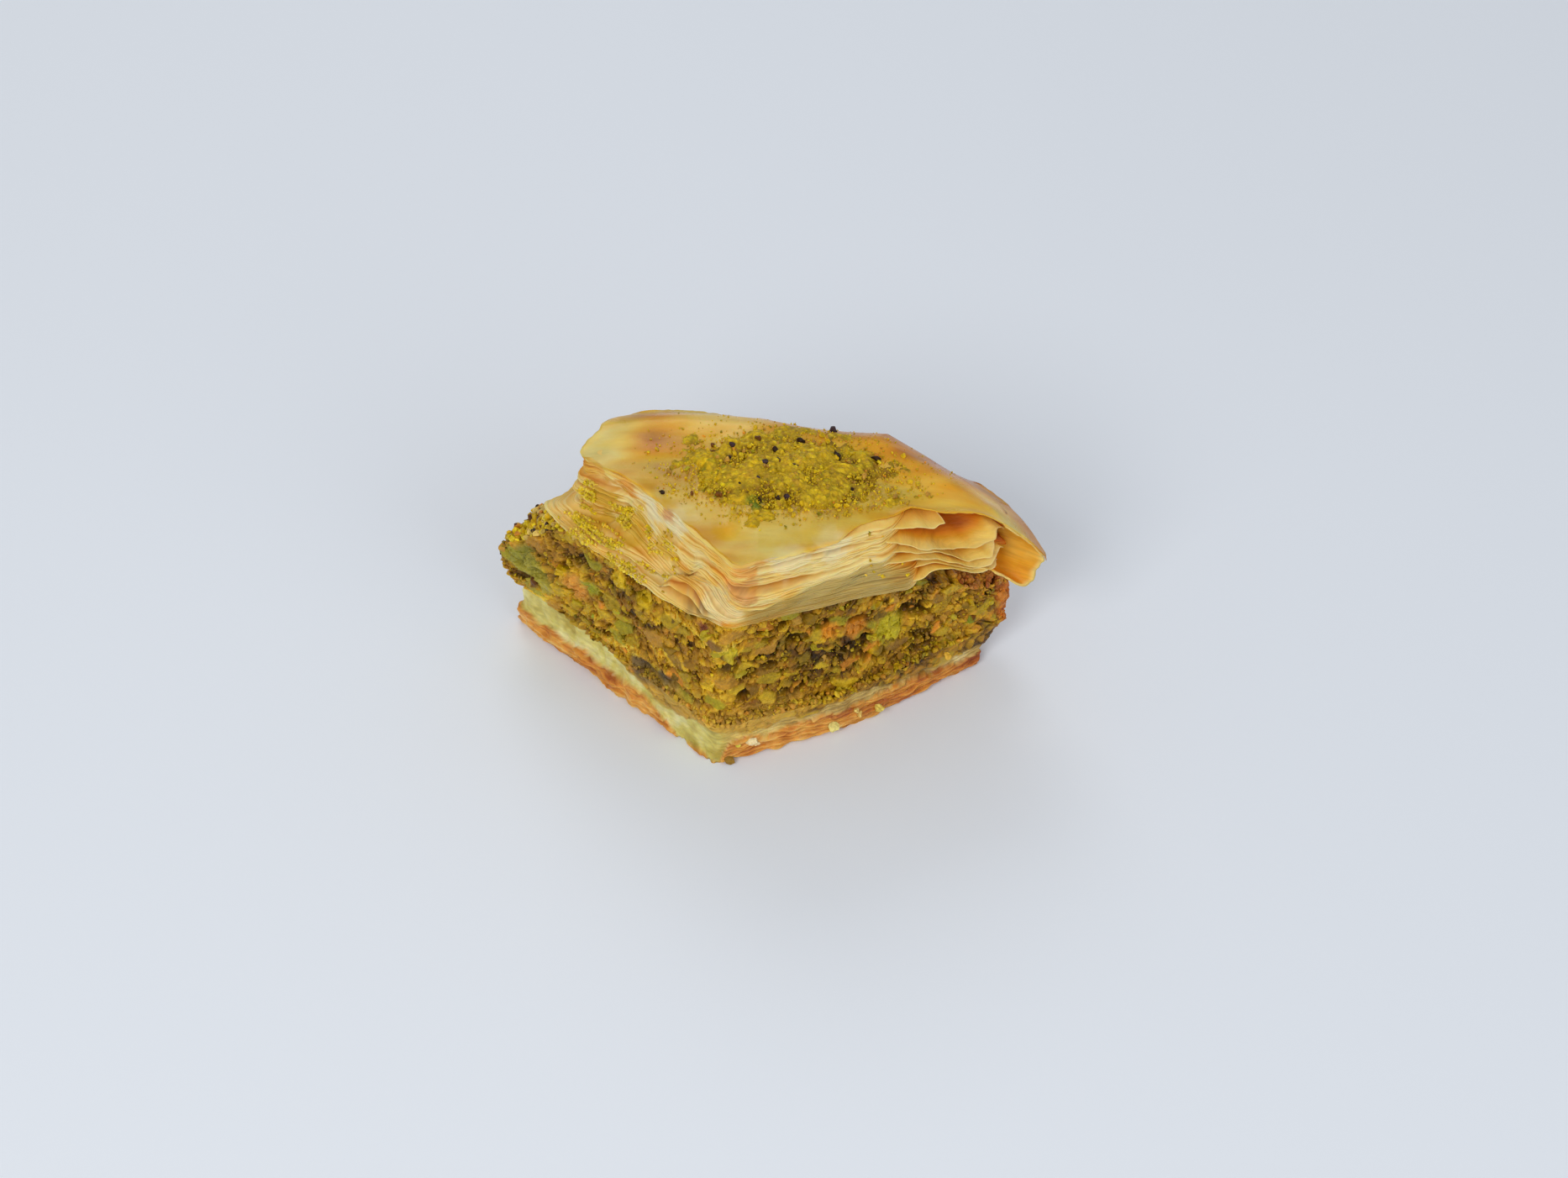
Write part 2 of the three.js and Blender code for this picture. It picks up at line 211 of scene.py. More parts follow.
def grains(x, y, z, size, seed):
    """Cells of about the given size in millimetres. Gives the distance to the nearest cell's middle
    and how much further the next one is, both in sizes, the nearest cell's own number from 0 to 1,
    and the height of a facet that leans the cell's own way, from about -0.5 to 0.5."""
    x, y, z = np.broadcast_arrays(x, y, z)
    place = np.stack([x, y, z], -1).reshape(-1, 3) / size
    cell = np.floor(place).astype(np.int64)
    nearest = np.full(len(place), 9.0)
    second = nearest.copy()
    number = np.zeros(len(place))
    facet = np.zeros(len(place))
    for offset in np.ndindex(3, 3, 3):
        near = cell + offset - 1
        draws = np.stack([hashed(near, seed + k) for k in range(3)], -1)
        way = near + draws - place
        away = np.linalg.norm(way, axis=1)
        closer = away < nearest
        second = np.where(closer, nearest, np.minimum(second, away))
        number[closer] = hashed(near[closer], seed + 7)
        facet[closer] = np.sum(way[closer] * (draws[closer][:, [1, 2, 0]] - 0.5), axis=1)
        nearest = np.minimum(nearest, away)
    return [found.reshape(x.shape) for found in (nearest, second - nearest, number, facet)]


def spot(x, y, z, middle, reach):
    """1 in the middle of a soft round spot and 0 from its reach outwards, in millimetres."""
    away = np.sqrt((x - middle[0]) ** 2 + (y - middle[1]) ** 2 + (z - middle[2]) ** 2)
    return fall(0.5 * reach, reach, away)


def outline(corners, count):
    """Evenly spaced points round a polygon with rounded corners."""
    corners = np.array(corners, float)

    def towards(others):
        way = others - corners
        return corners + way / np.linalg.norm(way, axis=1, keepdims=True) * CORNER_ROUNDING

    enter = towards(np.roll(corners, 1, axis=0))
    leave = towards(np.roll(corners, -1, axis=0))
    t = np.linspace(0, 1, 6)[:, None, None]
    arcs = enter * (1 - t) ** 2 + 2 * corners * t * (1 - t) + leave * t**2
    start = (corners[-1] + corners[0]) / 2
    path = np.vstack([start, arcs.transpose(1, 0, 2).reshape(-1, 2), start])
    length = np.concatenate([[0], np.cumsum(np.linalg.norm(np.diff(path, axis=0), axis=1))])
    at = np.linspace(0, length[-1], count, endpoint=False)
    return np.column_stack([np.interp(at, length, path[:, axis]) for axis in (0, 1)])


def blended(foot, head, share):
    return np.array(foot) + (np.array(head) - np.array(foot)) * share


def inside_edge(x, y, a, b):
    """Distance inside the straight line from corner a to corner b."""
    dx, dy = b[0] - a[0], b[1] - a[1]
    return (dx * (y - a[1]) - dy * (x - a[0])) / math.hypot(dx, dy)


def inward(plan, distance):
    """Points in plan (..., 2) moved by distances in millimetres towards the piece's middle line."""
    middle = np.stack([np.clip(plan[..., 0], *SPINE), np.full(plan.shape[:-1], CENTRE[1])], -1)
    way = middle - plan
    way /= np.linalg.norm(way, axis=-1, keepdims=True)
    return plan + way * np.asarray(distance)[..., None]


def from_back(x, y, corners):
    """Distance inside the two sides of an outline that lay against the tray, its last two."""
    return np.minimum(inside_edge(x, y, *corners[-3:-1]), inside_edge(x, y, *corners[-2:]))


def base_top(x):
    return 7.2 - 0.035 * (x + 20)


def filling_top(x, y):
    swell = 1.7 * np.sin(np.pi * np.clip((x + 4) / 38, 0, 1))
    return 19.65 - 0.119 * x - 0.222 * y + 0.004 * (y + 17) ** 2 + swell


def crumbled_top(x, y):
    back_left = 5.0 * fall(0, 5, inside_edge(x, y, FILLING_HEAD[5], FILLING_HEAD[0]))
    left = np.maximum(9.0 * step(26, 36, -x), back_left)
    return filling_top(x, y) - left - 4.6 * step(19, 29, x)


def stack_top(x, y):
    slope = 0.115 * np.maximum(0, x + 1)
    curl = 9.4 * np.maximum(0, (x - 21) / 16) ** 2.3
    left_fall = 1.5 * np.maximum(0, (-16 - x) / 10) ** 2
    reach = mix(4, 8, step(-20, 18, x))
    depth = mix(2, 6.8, step(-20, 18, x)) - 5.2 * step(22, 36, x)
    back_fall = depth * np.clip(1 - from_back(x, y, STACK_HEAD) / reach, 0, 1) ** 1.7
    corner_fall = 0.5 * np.clip(1 - inside_edge(x, y, STACK_HEAD[-1], STACK_HEAD[0]) / 4, 0, 1)
    swell = 0.3 * np.sin(0.21 * x + 0.9) * np.cos(0.16 * y)
    return 35.6 - slope - curl - left_fall - back_fall - corner_fall + swell


def stack_height(x, y, share):
    return mix(filling_top(x, y) + LAYER_GAP, stack_top(x, y), share)


def stack_outline(share, count=STACK_POINTS):
    return outline(blended(STACK_FOOT, STACK_HEAD, step(-0.12, 0.5, share)), count)


def openness(x, y):
    """1 at the front of the right tip, where the sheets stand open, and 0 over the rest."""
    from_front = inside_edge(x, y, STACK_HEAD[2], STACK_HEAD[4])
    return step(*POCKET_X, x) * fall(3, 7, from_front)


def opened_at(x, share):
    """1 where the sheets at this share of the height stand open: the lower, the further right."""
    return mix(step(18, 25, x), 1, step(0.3, 0.45, share))


def front_right(x, y):
    """1 along the front right side of the stack, and 0 along its other sides."""
    return step(-5, -1, x) * fall(5, 9, inside_edge(x, y, STACK_HEAD[2], STACK_HEAD[4]))


def soaked_zone(x, share):
    """1 in the lower sheets, which syrup has stuck together, and 0 above them."""
    top = 0.34 + 0.2 * step(-2, 8, x)
    return fall(-0.05, 0.05, share - top)


def inside_front(x):
    """Where the front right edge of the top lies along Y."""
    (left, front), (right, back) = STACK_HEAD[3], STACK_HEAD[4]
    return front + (x - left) * (back - front) / (right - left)


def at_back(x, y):
    """1 along the two sides that lay against the tray, and 0 along the others."""
    return fall(1, 5, from_back(x, y, STACK_HEAD))


def off_heap(x, y):
    """Distance from the middle of the heap of nuts, in its own sizes."""
    return np.hypot((x - HEAP_MIDDLE[0]) / HEAP_SIZE[0], (y - HEAP_MIDDLE[1]) / HEAP_SIZE[1])


def heap(x, y):
    """The heap's height, as a share of its greatest."""
    return fall(0.2, 1.1, off_heap(x, y))


# Meshes from rings of points.


def new_object(name, points, faces, smooth=True):
    mesh = bpy.data.meshes.new(name)
    mesh.from_pydata((np.asarray(points) * MM).tolist(), [], faces)
    mesh.update()
    if smooth:
        mesh.shade_smooth()
    piece = bpy.data.objects.new(name, mesh)
    bpy.context.scene.collection.objects.link(piece)
    return piece


def new_piece(name, points, faces, colours, smooth=True):
    """A piece of the food, kept inside the solids' box, with a colour for each of its points."""
    piece = new_object(name, np.clip(points, BOX_LOW, BOX_HIGH), faces, smooth)
    rgba = np.column_stack([np.clip(colours, 0, 1), np.ones(len(colours))]).astype(np.float32)
    piece.data.attributes.new("tint", "FLOAT_COLOR", "POINT").data.foreach_set("color", rgba.ravel())
    return piece


def grid_faces(rows, count, closed=True, first=0):
    """Quads between rows of count points each, round and round if closed."""
    columns = np.arange(count if closed else count - 1)
    beside = (columns + 1) % count
    faces = []
    for row in range(rows - 1):
        low, high = first + row * count, first + (row + 1) * count
        faces.append(np.column_stack([low + columns, low + beside, high + beside, high + columns]))
    return np.vstack(faces)


def ring_body(name, rings, colours, low_end, high_end, smooth=True):
    """A closed body through rings (L, M, 3) of points and colours, to a point at each end."""
    levels, count, _ = rings.shape
    points = np.vstack([rings.reshape(-1, 3), low_end, high_end])
    tints = np.vstack([colours.reshape(-1, 3), colours[0, :1], colours[-1, :1]])
    columns = np.arange(count)
    beside = (columns + 1) % count
    low, top, high = levels * count, (levels - 1) * count, levels * count + 1
    faces = grid_faces(levels, count).tolist()
    faces += np.column_stack([np.full(count, low), beside, columns]).tolist()
    faces += np.column_stack([np.full(count, high), top + columns, top + beside]).tolist()
    return new_piece(name, points, faces, tints, smooth)


def face_rings(edge, shares, height_at):
    """Rings of a face that runs from an edge (M, 2) in to the centre."""
    rings = []
    for share in shares:
        plan = mix(edge, CENTRE, share)
        rings.append(np.column_stack([plan, height_at(plan[:, 0], plan[:, 1])]))
    return np.array(rings)


def centre_point(height_at):
    return [[*CENTRE, float(np.squeeze(height_at(CENTRE[:1], CENTRE[1:])))]]


# Nut fragments.


def fragment_shapes(count, subdivisions, cuts, seed):
    """Lumps about 1 mm across, cut by planes, as arrays of points, with their shared faces."""
    ball = bmesh.new()
    bmesh.ops.create_icosphere(ball, subdivisions=subdivisions, radius=0.5)
    points = np.array([v.co for v in ball.verts])
    faces = np.array([[v.index for v in f.verts] for f in ball.faces])
    ball.free()
    random = np.random.default_rng(seed)
    shapes = []
    for _ in range(count):
        shape = points.copy()
        for _ in range(cuts):
            normal = random.normal(size=3)
            normal /= np.linalg.norm(normal)
            beyond = shape @ normal - random.uniform(0.24, 0.42)
            shape -= np.maximum(beyond, 0)[:, None] * normal
        shape *= 1 + 0.14 * random.normal(size=(len(shape), 1))
        shapes.append(shape * random.uniform([1.0, 0.8, 0.6], [1.45, 1.15, 1.0]))
    return np.array(shapes), faces


def turns(count, random):
    """Random rotation matrices (count, 3, 3)."""
    q = random.normal(size=(count, 4))
    w, x, y, z = (q / np.linalg.norm(q, axis=1, keepdims=True)).T
    rows = [
        [1 - 2 * (y * y + z * z), 2 * (x * y - z * w), 2 * (x * z + y * w)],
        [2 * (x * y + z * w), 1 - 2 * (x * x + z * z), 2 * (y * z - x * w)],
        [2 * (x * z - y * w), 2 * (y * z + x * w), 1 - 2 * (x * x + y * y)],
    ]
    return np.array(rows).transpose(2, 0, 1)


def scatter(name, middles, sizes, colours, skins, subdivisions, seed):
    """One piece of many fragments, each with its skin's colour on one side."""
    random = np.random.default_rng(seed)
    shapes, faces = fragment_shapes(24, subdivisions, 5, seed)
    shape = shapes[random.integers(0, len(shapes), len(middles))]
    spin = turns(len(middles), random)
    points = np.einsum("nij,nkj->nki", spin, shape) * sizes[:, None, None] + middles[:, None, :]
    tint = tinted(colours[:, None, :], skins[:, None, :], step(0.16, 0.3, shape[:, :, 2]))
    tint = tint * (1 + 0.1 * random.normal(size=tint.shape[:2]))[..., None]
    offsets = np.arange(len(middles))[:, None, None] * shapes.shape[1]
    faces = (faces + offsets).reshape(-1, 3).tolist()
    return new_piece(name, points.reshape(-1, 3), faces, tint.reshape(-1, 3), smooth=False)


def drawn(palette, count, random):
    """Colours drawn from a palette, each a little lighter or darker."""
    return picked(palette, random.random(count)) * random.uniform(0.75, 1.2, (count, 1))


# The filling: a packed paste cut across, with chopped nuts, grains and hollows in it.

PASTE = ((0.0, srgb(52, 32, 6)), (0.2, srgb(104, 72, 12)), (0.45, srgb(156, 112, 22)),
         (0.7, srgb(198, 150, 32)), (0.9, srgb(226, 186, 50)), (1.1, srgb(244, 220, 90)))
FILLING_BALANCE = np.array([0.98, 0.91, 0.7])
CUT_NUTS = ((srgb(184, 160, 30), 5), (srgb(214, 184, 40), 4), (srgb(164, 160, 34), 2), (ORANGE, 1.6),
            (TAN, 2), (srgb(144, 108, 32), 1.5), (srgb(116, 70, 40), 0.4))
GRAIN_COLOURS = ((YELLOW, 7), (BRIGHT_YELLOW, 3), (TAN, 4), (OLIVE, 2), (GREEN, 1.5), (ORANGE, 1.5),
                 (BROWN, 2))
WALL_TONES = ((0, srgb(146, 58, 14)), (1, srgb(222, 130, 42)))
WALL_ORANGE = srgb(206, 116, 44)

# Things that stand out on the cut, as (place, reach, colour). The dark red-brown one under the right
# tip's leaves is painted shadow.
FILLING_SPOTS = (
    ((-33.4, 5.6, 13.6), 4.2, srgb(158, 158, 58)),
    ((-31.0, 3.4, 12.4), 2.6, srgb(166, 160, 60)),
    ((-26.2, -0.8, 15.0), 2.6, srgb(226, 160, 70)),
    ((-24.4, -2.4, 16.2), 2.2, srgb(146, 158, 40)),
    ((-19.7, -5.3, 21.3), 1.8, BRIGHT_YELLOW),
    ((-16.1, -7.5, 19.8), 1.8, BRIGHT_YELLOW),
    ((-16.6, -8.6, 7.8), 2.8, SLATE),
    ((-13.4, -11.6, 8.2), 2.6, SLATE),
    ((-9.0, -15.0, 21.2), 1.9, RED),
    ((12.0, -9.4, 16.6), 2.6, ORANGE),
    ((8.6, -11.4, 17.6), 1.8, ORANGE),
    ((16.6, -6.6, 13.4), 3.2, srgb(196, 188, 36)),
    ((14.0, -8.4, 10.8), 2.0, srgb(232, 160, 56)),
    ((27.0, -3.2, 15.2), 2.8, srgb(170, 92, 40)),
    # Painted shadow in the gap under the right tip's leaves.
    ((25.6, -3.6, 18.2), 2.8, srgb(112, 42, 24)),
    ((31.0, -1.4, 14.8), 2.8, srgb(206, 128, 60)),
)

# Hollows in the cut, dented in and painted near black as painted shade, as (place, reach).
HOLLOWS = (
    ((3.9, -12.4, 17.8), 1.7), ((12.8, -8.2, 13.4), 1.6), ((-5.4, -16.4, 15.8), 1.8),
    ((0.2, -14.4, 14.6), 1.5), ((-2.0, -15.6, 14.0), 1.4), ((18.8, -4.6, 15.0), 1.5),
    ((14.9, -7.0, 9.6), 1.4), ((-3.4, -15.8, 10.6), 1.4), ((-27.2, 2.2, 20.2), 1.3),
    ((-26.4, 1.4, 18.6), 1.1), ((-22.6, -1.2, 19.6), 1.2), ((22.6, -2.4, 10.8), 1.2),
)


def in_spot(x, y, z):
    """How far a place lies in one of the things that stand out."""
    return np.max([spot(x, y, z, middle, reach) for middle, reach, _ in FILLING_SPOTS], axis=0)


def at_wall(x, y):
    """1 in the filling's skin that lay against the tray's wall, and 0 inwards of it."""
    return fall(1.4, 3.4, from_back(x, y, FILLING_HEAD) + 0.8 * lumps(x, y, 0, 2, 89))


def filling_look(x, y, z):
    """Relief of the cut filling, outward in millimetres, and its colour."""
    at = [axis + 0.5 * lumps(x, y, z, 1.9, 200 + k) for k, axis in enumerate((x, y, z * 1.2))]
    far, border, number, _ = grains(at[0], at[1], at[2] * 1.5, 3.6, 31)
    cut = step(0.52, 0.56, number) * step(0.04, 0.12, border) * fall(0.48, 0.62, far)
    _, border_mid, number_mid, facet_mid = grains(*at, 1.5, 41)
    _, _, number_fine, facet_fine = grains(x, y, z, 0.7, 51)
    hollow = step(0.42, 0.62, rough(at[0] * 0.7, at[1] * 0.7, at[2] * 1.6, 2.4, 61, 2))
    hollow = hollow * (1 - 0.85 * cut)
    for middle, reach in HOLLOWS:
        hollow = np.maximum(hollow, spot(at[0], y, z * 1.3, (*middle[:2], middle[2] * 1.3), reach))
    hollow = hollow * step(0.3, 1.8, z - base_top(x))
    crease = fall(0.0, 0.13, border_mid) * (1 - cut)
    coarse = (1 - 0.85 * cut) * (1.5 * facet_mid + 0.8 * (number_mid - 0.5))
    fine = (1 - 0.5 * cut) * (1.2 * facet_fine + 0.6 * (number_fine - 0.5))

    # Front: the filling is painted a little darker from the front corner rightwards, painted shade
    # of the side turned from the key light.
    front = step(-12, 4, x)
    patches = rough(x * 0.8, y * 0.8, z * 1.5, 5, 71)
    packed = step(13, 20, -x) * fall(11, 15, z)
    # Raised facets are painted lighter and the creases between grains darker: painted light and
    # painted shade that follow the relief. The shade below carries them onto the grains, spots and
    # soaked skin.
    tone = 0.52 + 0.38 * patches + 0.42 * coarse + 0.22 * fine
    tone = tone - 0.2 * crease - 0.06 * front + 0.26 * packed
    colour = shaded(tone, PASTE)
    shade = np.clip(0.55 + 0.8 * (tone - 0.1), 0.25, 1.15)[..., None]
    bit = step(0.45, 0.5, number_mid) * step(0.03, 0.12, border_mid) * (1 - cut)
    colour = tinted(colour, picked(GRAIN_COLOURS, number_mid * 7 % 1) * shade, 0.42 * bit)
    bit = step(0.5, 0.55, number_fine)
    colour = tinted(colour, picked(GRAIN_COLOURS, number_fine * 11 % 1) * shade, 0.25 * bit)
    nut = picked(CUT_NUTS, number * 13 % 1) * (0.95 + 0.2 * rough(x, y, z, 1.3, 81, 2))[..., None]
    colour = tinted(colour, nut, 0.8 * cut)
    for middle, reach, own in FILLING_SPOTS:
        ragged = reach * (1 + 0.3 * lumps(x, y, z, 1.5, 83))
        colour = tinted(colour, own * mix(1, shade, 0.5), 0.85 * spot(x, y, z, middle, ragged))
    browned = shaded(0.5 + 0.5 * fine + 0.3 * lumps(x, y, z, 1.7, 86), WALL_TONES)
    colour = tinted(colour, browned, 0.85 * at_wall(x, y))
    # Hollows painted near black: painted shade in the recesses.
    colour = tinted(colour, srgb(46, 26, 6), 0.85 * hollow)

    soaked = fall(0.2, 2.6, z - base_top(x) + 0.8 * lumps(x, y, z, 2, 87))
    soaked = soaked * fall(6, 14, np.abs(x + 6))
    colour = tinted(colour, srgb(224, 184, 88) * mix(1, shade, 0.6), 0.7 * soaked)

    colour = colour * FILLING_BALANCE
    loose = mix(0.8, 1.4, step(19, 31, -x))
    relief = loose * (0.55 * coarse + 0.3 * fine) + 0.2 * cut - 0.3 * crease - 1.4 * hollow
    return relief, colour


def filling_surface(count, levels):
    """Rings of the filling's side before its relief."""
    rings = []
    for level in range(levels + 1):
        share = level / levels
        plan = outline(blended(FILLING_FOOT, FILLING_HEAD, share), count)
        bulge = 1.2 * step(20, 34, -plan[:, 0]) * math.sin(math.pi * share)
        z = mix(base_top(plan[:, 0]) + LAYER_GAP / 2, crumbled_top(*plan.T), share)
        crag = 0.7 * lumps(*plan.T, z, 2.6, 21) + 0.25 * lumps(*plan.T, z, 1.3, 22)
        plan = inward(plan, -bulge - crag)
        z = mix(base_top(plan[:, 0]) + LAYER_GAP / 2, crumbled_top(*plan.T), share)
        rings.append(np.column_stack([plan, z]))
    return np.array(rings)


def make_filling_paste(side):
    relief, colour = filling_look(side[..., 0], side[..., 1], side[..., 2])
    paste = np.dstack([inward(side[..., :2], 0.2 - relief), side[..., 2]])
    paste[0, :, 2] = base_top(paste[0, :, 0]) + 0.05
    shares = np.concatenate([np.linspace(0.012, 0.3, 22), [0.4, 0.6, 0.85]])
    top = face_rings(paste[-1, :, :2], shares, crumbled_top)
    top_relief, top_own = filling_look(top[..., 0], top[..., 1], top[..., 2])
    fade = fall(0.3, 0.4, shares)[:, None]
    highest = filling_top(top[..., 0], top[..., 1]) + 0.25
    top[..., 2] = np.minimum(top[..., 2] + fade * (1.3 * top_relief - 0.2), highest)
    bottom = centre_point(lambda a, b: base_top(a) + 0.05)
    rings, colours = np.vstack([paste, top]), np.vstack([colour, top_own])
    middle = centre_point(crumbled_top)
    return ring_body("filling_paste", rings, colours, bottom, middle, smooth=False)


# Nuts in the cut side, as (number, least size, greatest size, power, how proud they stand). The
# higher the power, the more of them are small.
CUT_CHUNKS = (130, 1.2, 3.0, 1.8, 0.12)
CUT_CRUMBS = (3600, 0.25, 0.85, 2.2, 0.05)

# How many crumbs of filling lie along the base's upper edge, and how many on the two tips.
RIM_CRUMBS = 900
TIP_CRUMBS = 1080

CHUNK_COLOURS = ((srgb(190, 168, 30), 5), (YELLOW, 4), (BRIGHT_GREEN, 1), (TAN, 3), (ORANGE, 2),
                 (OLIVE, 2))
CHUNK_SKINS = ((BROWN, 3), (OLIVE, 3), (YELLOW, 6))
TIP_COLOURS = ((YELLOW, 5), (BRIGHT_YELLOW, 5), (srgb(224, 190, 96), 4), (ORANGE, 2), (OLIVE, 1),
               (BROWN, 1), (DARK, 0.6))


def make_filling_nuts(side):
    """Chopped nuts set into the cut side, and crumbs on it."""
    random = np.random.default_rng(41)
    levels, count, _ = side.shape

    def spots(number, size_low, size_high, power, proud):
        """Places on the cut side that have room for the sizes drawn for them, and those sizes."""
        sizes = mix(size_low, size_high, random.random(number) ** power)
        level = random.uniform(0.02, 0.99, number) * (levels - 1)
        column = random.integers(0, count, number)
        low = side[level.astype(int), column]
        high = side[np.minimum(level.astype(int) + 1, levels - 1), column]
        middles = mix(low, high, (level % 1)[:, None])
        middles[:, :2] = inward(middles[:, :2], (0.5 - proud) * sizes)
        x, y, z = middles.T
        room = np.minimum(z - base_top(x), filling_top(x, y) + 0.4 - z)
        keep = (room > 0.35 * sizes) & (in_spot(x, y, z) < 0.2)
        return middles[keep], sizes[keep]

    middles, sizes = spots(*CUT_CHUNKS)
    colours = drawn(CHUNK_COLOURS, len(middles), random)
    colours = tinted(colours, WALL_ORANGE, 0.8 * at_wall(*middles[:, :2].T))
    skins = drawn(CHUNK_SKINS, len(middles), random)
    chunks = scatter("filling_chunks", middles, sizes, colours, skins, 2, 42)

    middles, sizes = spots(*CUT_CRUMBS)
    rim = outline(BASE_HEAD, 900)
    rim = rim[(rim[:, 1] < -1) & (rim[:, 0] > -28)]
    chosen = rim[random.integers(0, len(rim), RIM_CRUMBS)]
    plan = inward(chosen, random.uniform(0.2, 1.7, RIM_CRUMBS))
    on_rim = np.column_stack([plan, base_top(plan[:, 0]) + random.uniform(0, 0.6, RIM_CRUMBS)])
    middles = np.vstack([middles, on_rim])
    sizes = np.concatenate([sizes, mix(0.4, 1.2, random.random(RIM_CRUMBS) ** 2)])
    _, own = filling_look(*middles.T)
    colours = mix(own * 1.1, drawn(GRAIN_COLOURS, len(middles), random), 0.5)
    colours = tinted(colours, WALL_ORANGE, 0.8 * at_wall(*middles[:, :2].T))
    crumbs = scatter("filling_crumbs", middles, sizes, colours, colours * 0.85, 1, 43)
    return chunks, crumbs


def make_tip_crumbs():
    """Loose crumbs that lie on the crumbled left and right tips of the filling."""
    random = np.random.default_rng(51)
    edge = outline(FILLING_HEAD, 400)
    tips = edge[(edge[:, 0] < -20) | (edge[:, 0] > 27)]
    chosen = tips[random.integers(0, len(tips), TIP_CRUMBS)]
    plan = inward(chosen, random.uniform(-0.2, 7.0, TIP_CRUMBS))
    sizes = mix(0.5, 1.3, random.random(TIP_CRUMBS) ** 2)
    middles = np.column_stack([plan, crumbled_top(*plan.T) + 0.15 * sizes])
    keep = middles[:, 2] + 0.5 * sizes < filling_top(*plan.T) + 0.8
    middles, sizes = middles[keep], sizes[keep]
    colours = drawn(TIP_COLOURS, len(middles), random)
    browned = np.maximum(at_wall(*middles[:, :2].T), 0.9 * step(18, 23, middles[:, 0]))
    colours = tinted(colours, srgb(186, 104, 44), 0.75 * browned)
    return scatter("tip_crumbs", middles, sizes, colours, colours * 0.8, 2, 52)


# The bottom pastry: pale soaked sheets over a browned crust.

# Heights in millimetres at places along X, for the left side and for the front right side: of the
# brown crust, and of the pale layer over it. Above them the filling is pressed over the sheets.
CRUST_LEFT = ((-35, -28, -20, -15, -12, -7), (2.8, 3.2, 3.5, 2.8, 0.5, 0.2))
CRUST_RIGHT = ((-7, 4, 12, 22, 28, 33), (3.3, 3.0, 3.8, 2.8, 2.0, 2.4))
PALE_LEFT = ((-35, -27, -22, -18, -15, -12, -8), (8.5, 8.0, 7.0, 5.4, 3.4, 4.0, 5.6))
PALE_RIGHT = ((-7, -3, 4, 12, 18, 33), (5.6, 4.6, 4.6, 5.0, 3.6, 2.2))
FLAKE = 0.5

# Rings of the base's top, as shares of the way from its edge to the centre.
BASE_TOP_SHARES = (0.01, 0.02, 0.03, 0.04, 0.05, 0.06, 0.07, 0.08, 0.2, 0.5, 0.9)

# The pale layer's colours, from dark to light: greenish on the left side, and warmer on the others.
# The crust's run from pale to brown.
PALE_TONES = ((0.1, srgb(188, 166, 70)), (0.45, srgb(222, 208, 114)), (0.9, srgb(244, 236, 172)))
WARM_TONES = ((0.1, srgb(178, 140, 68)), (0.6, srgb(220, 186, 106)), (0.9, srgb(242, 218, 152)))
CRUST_TONES = ((0.0, srgb(252, 212, 132)), (0.3, srgb(238, 174, 78)), (0.65, srgb(216, 140, 48)),
               (1.0, srgb(176, 94, 30)))


def on_left(x, y):
    """1 along the base's left side, and 0 along its other sides."""
    return fall(0.4, 2.0, inside_edge(x, y, BASE_HEAD[0], BASE_HEAD[1]))


def flakes(x, y, z):
    """Ragged edges of thin flakes, outward in millimetres, and 1 in the grooves between them."""
    layer = z / FLAKE + 0.9 * lumps(x, y, 0, 6, 11)
    number = np.floor(layer)
    part = layer - number
    ragged = 0.5 * lumps(x, y, number * 7.3, 5, 12) + 0.35 * rough(x, y, number * 7.3, 1.6, 13, 2)
    groove = fall(0.0, 0.3, np.minimum(part, 1 - part))
    return ragged, groove


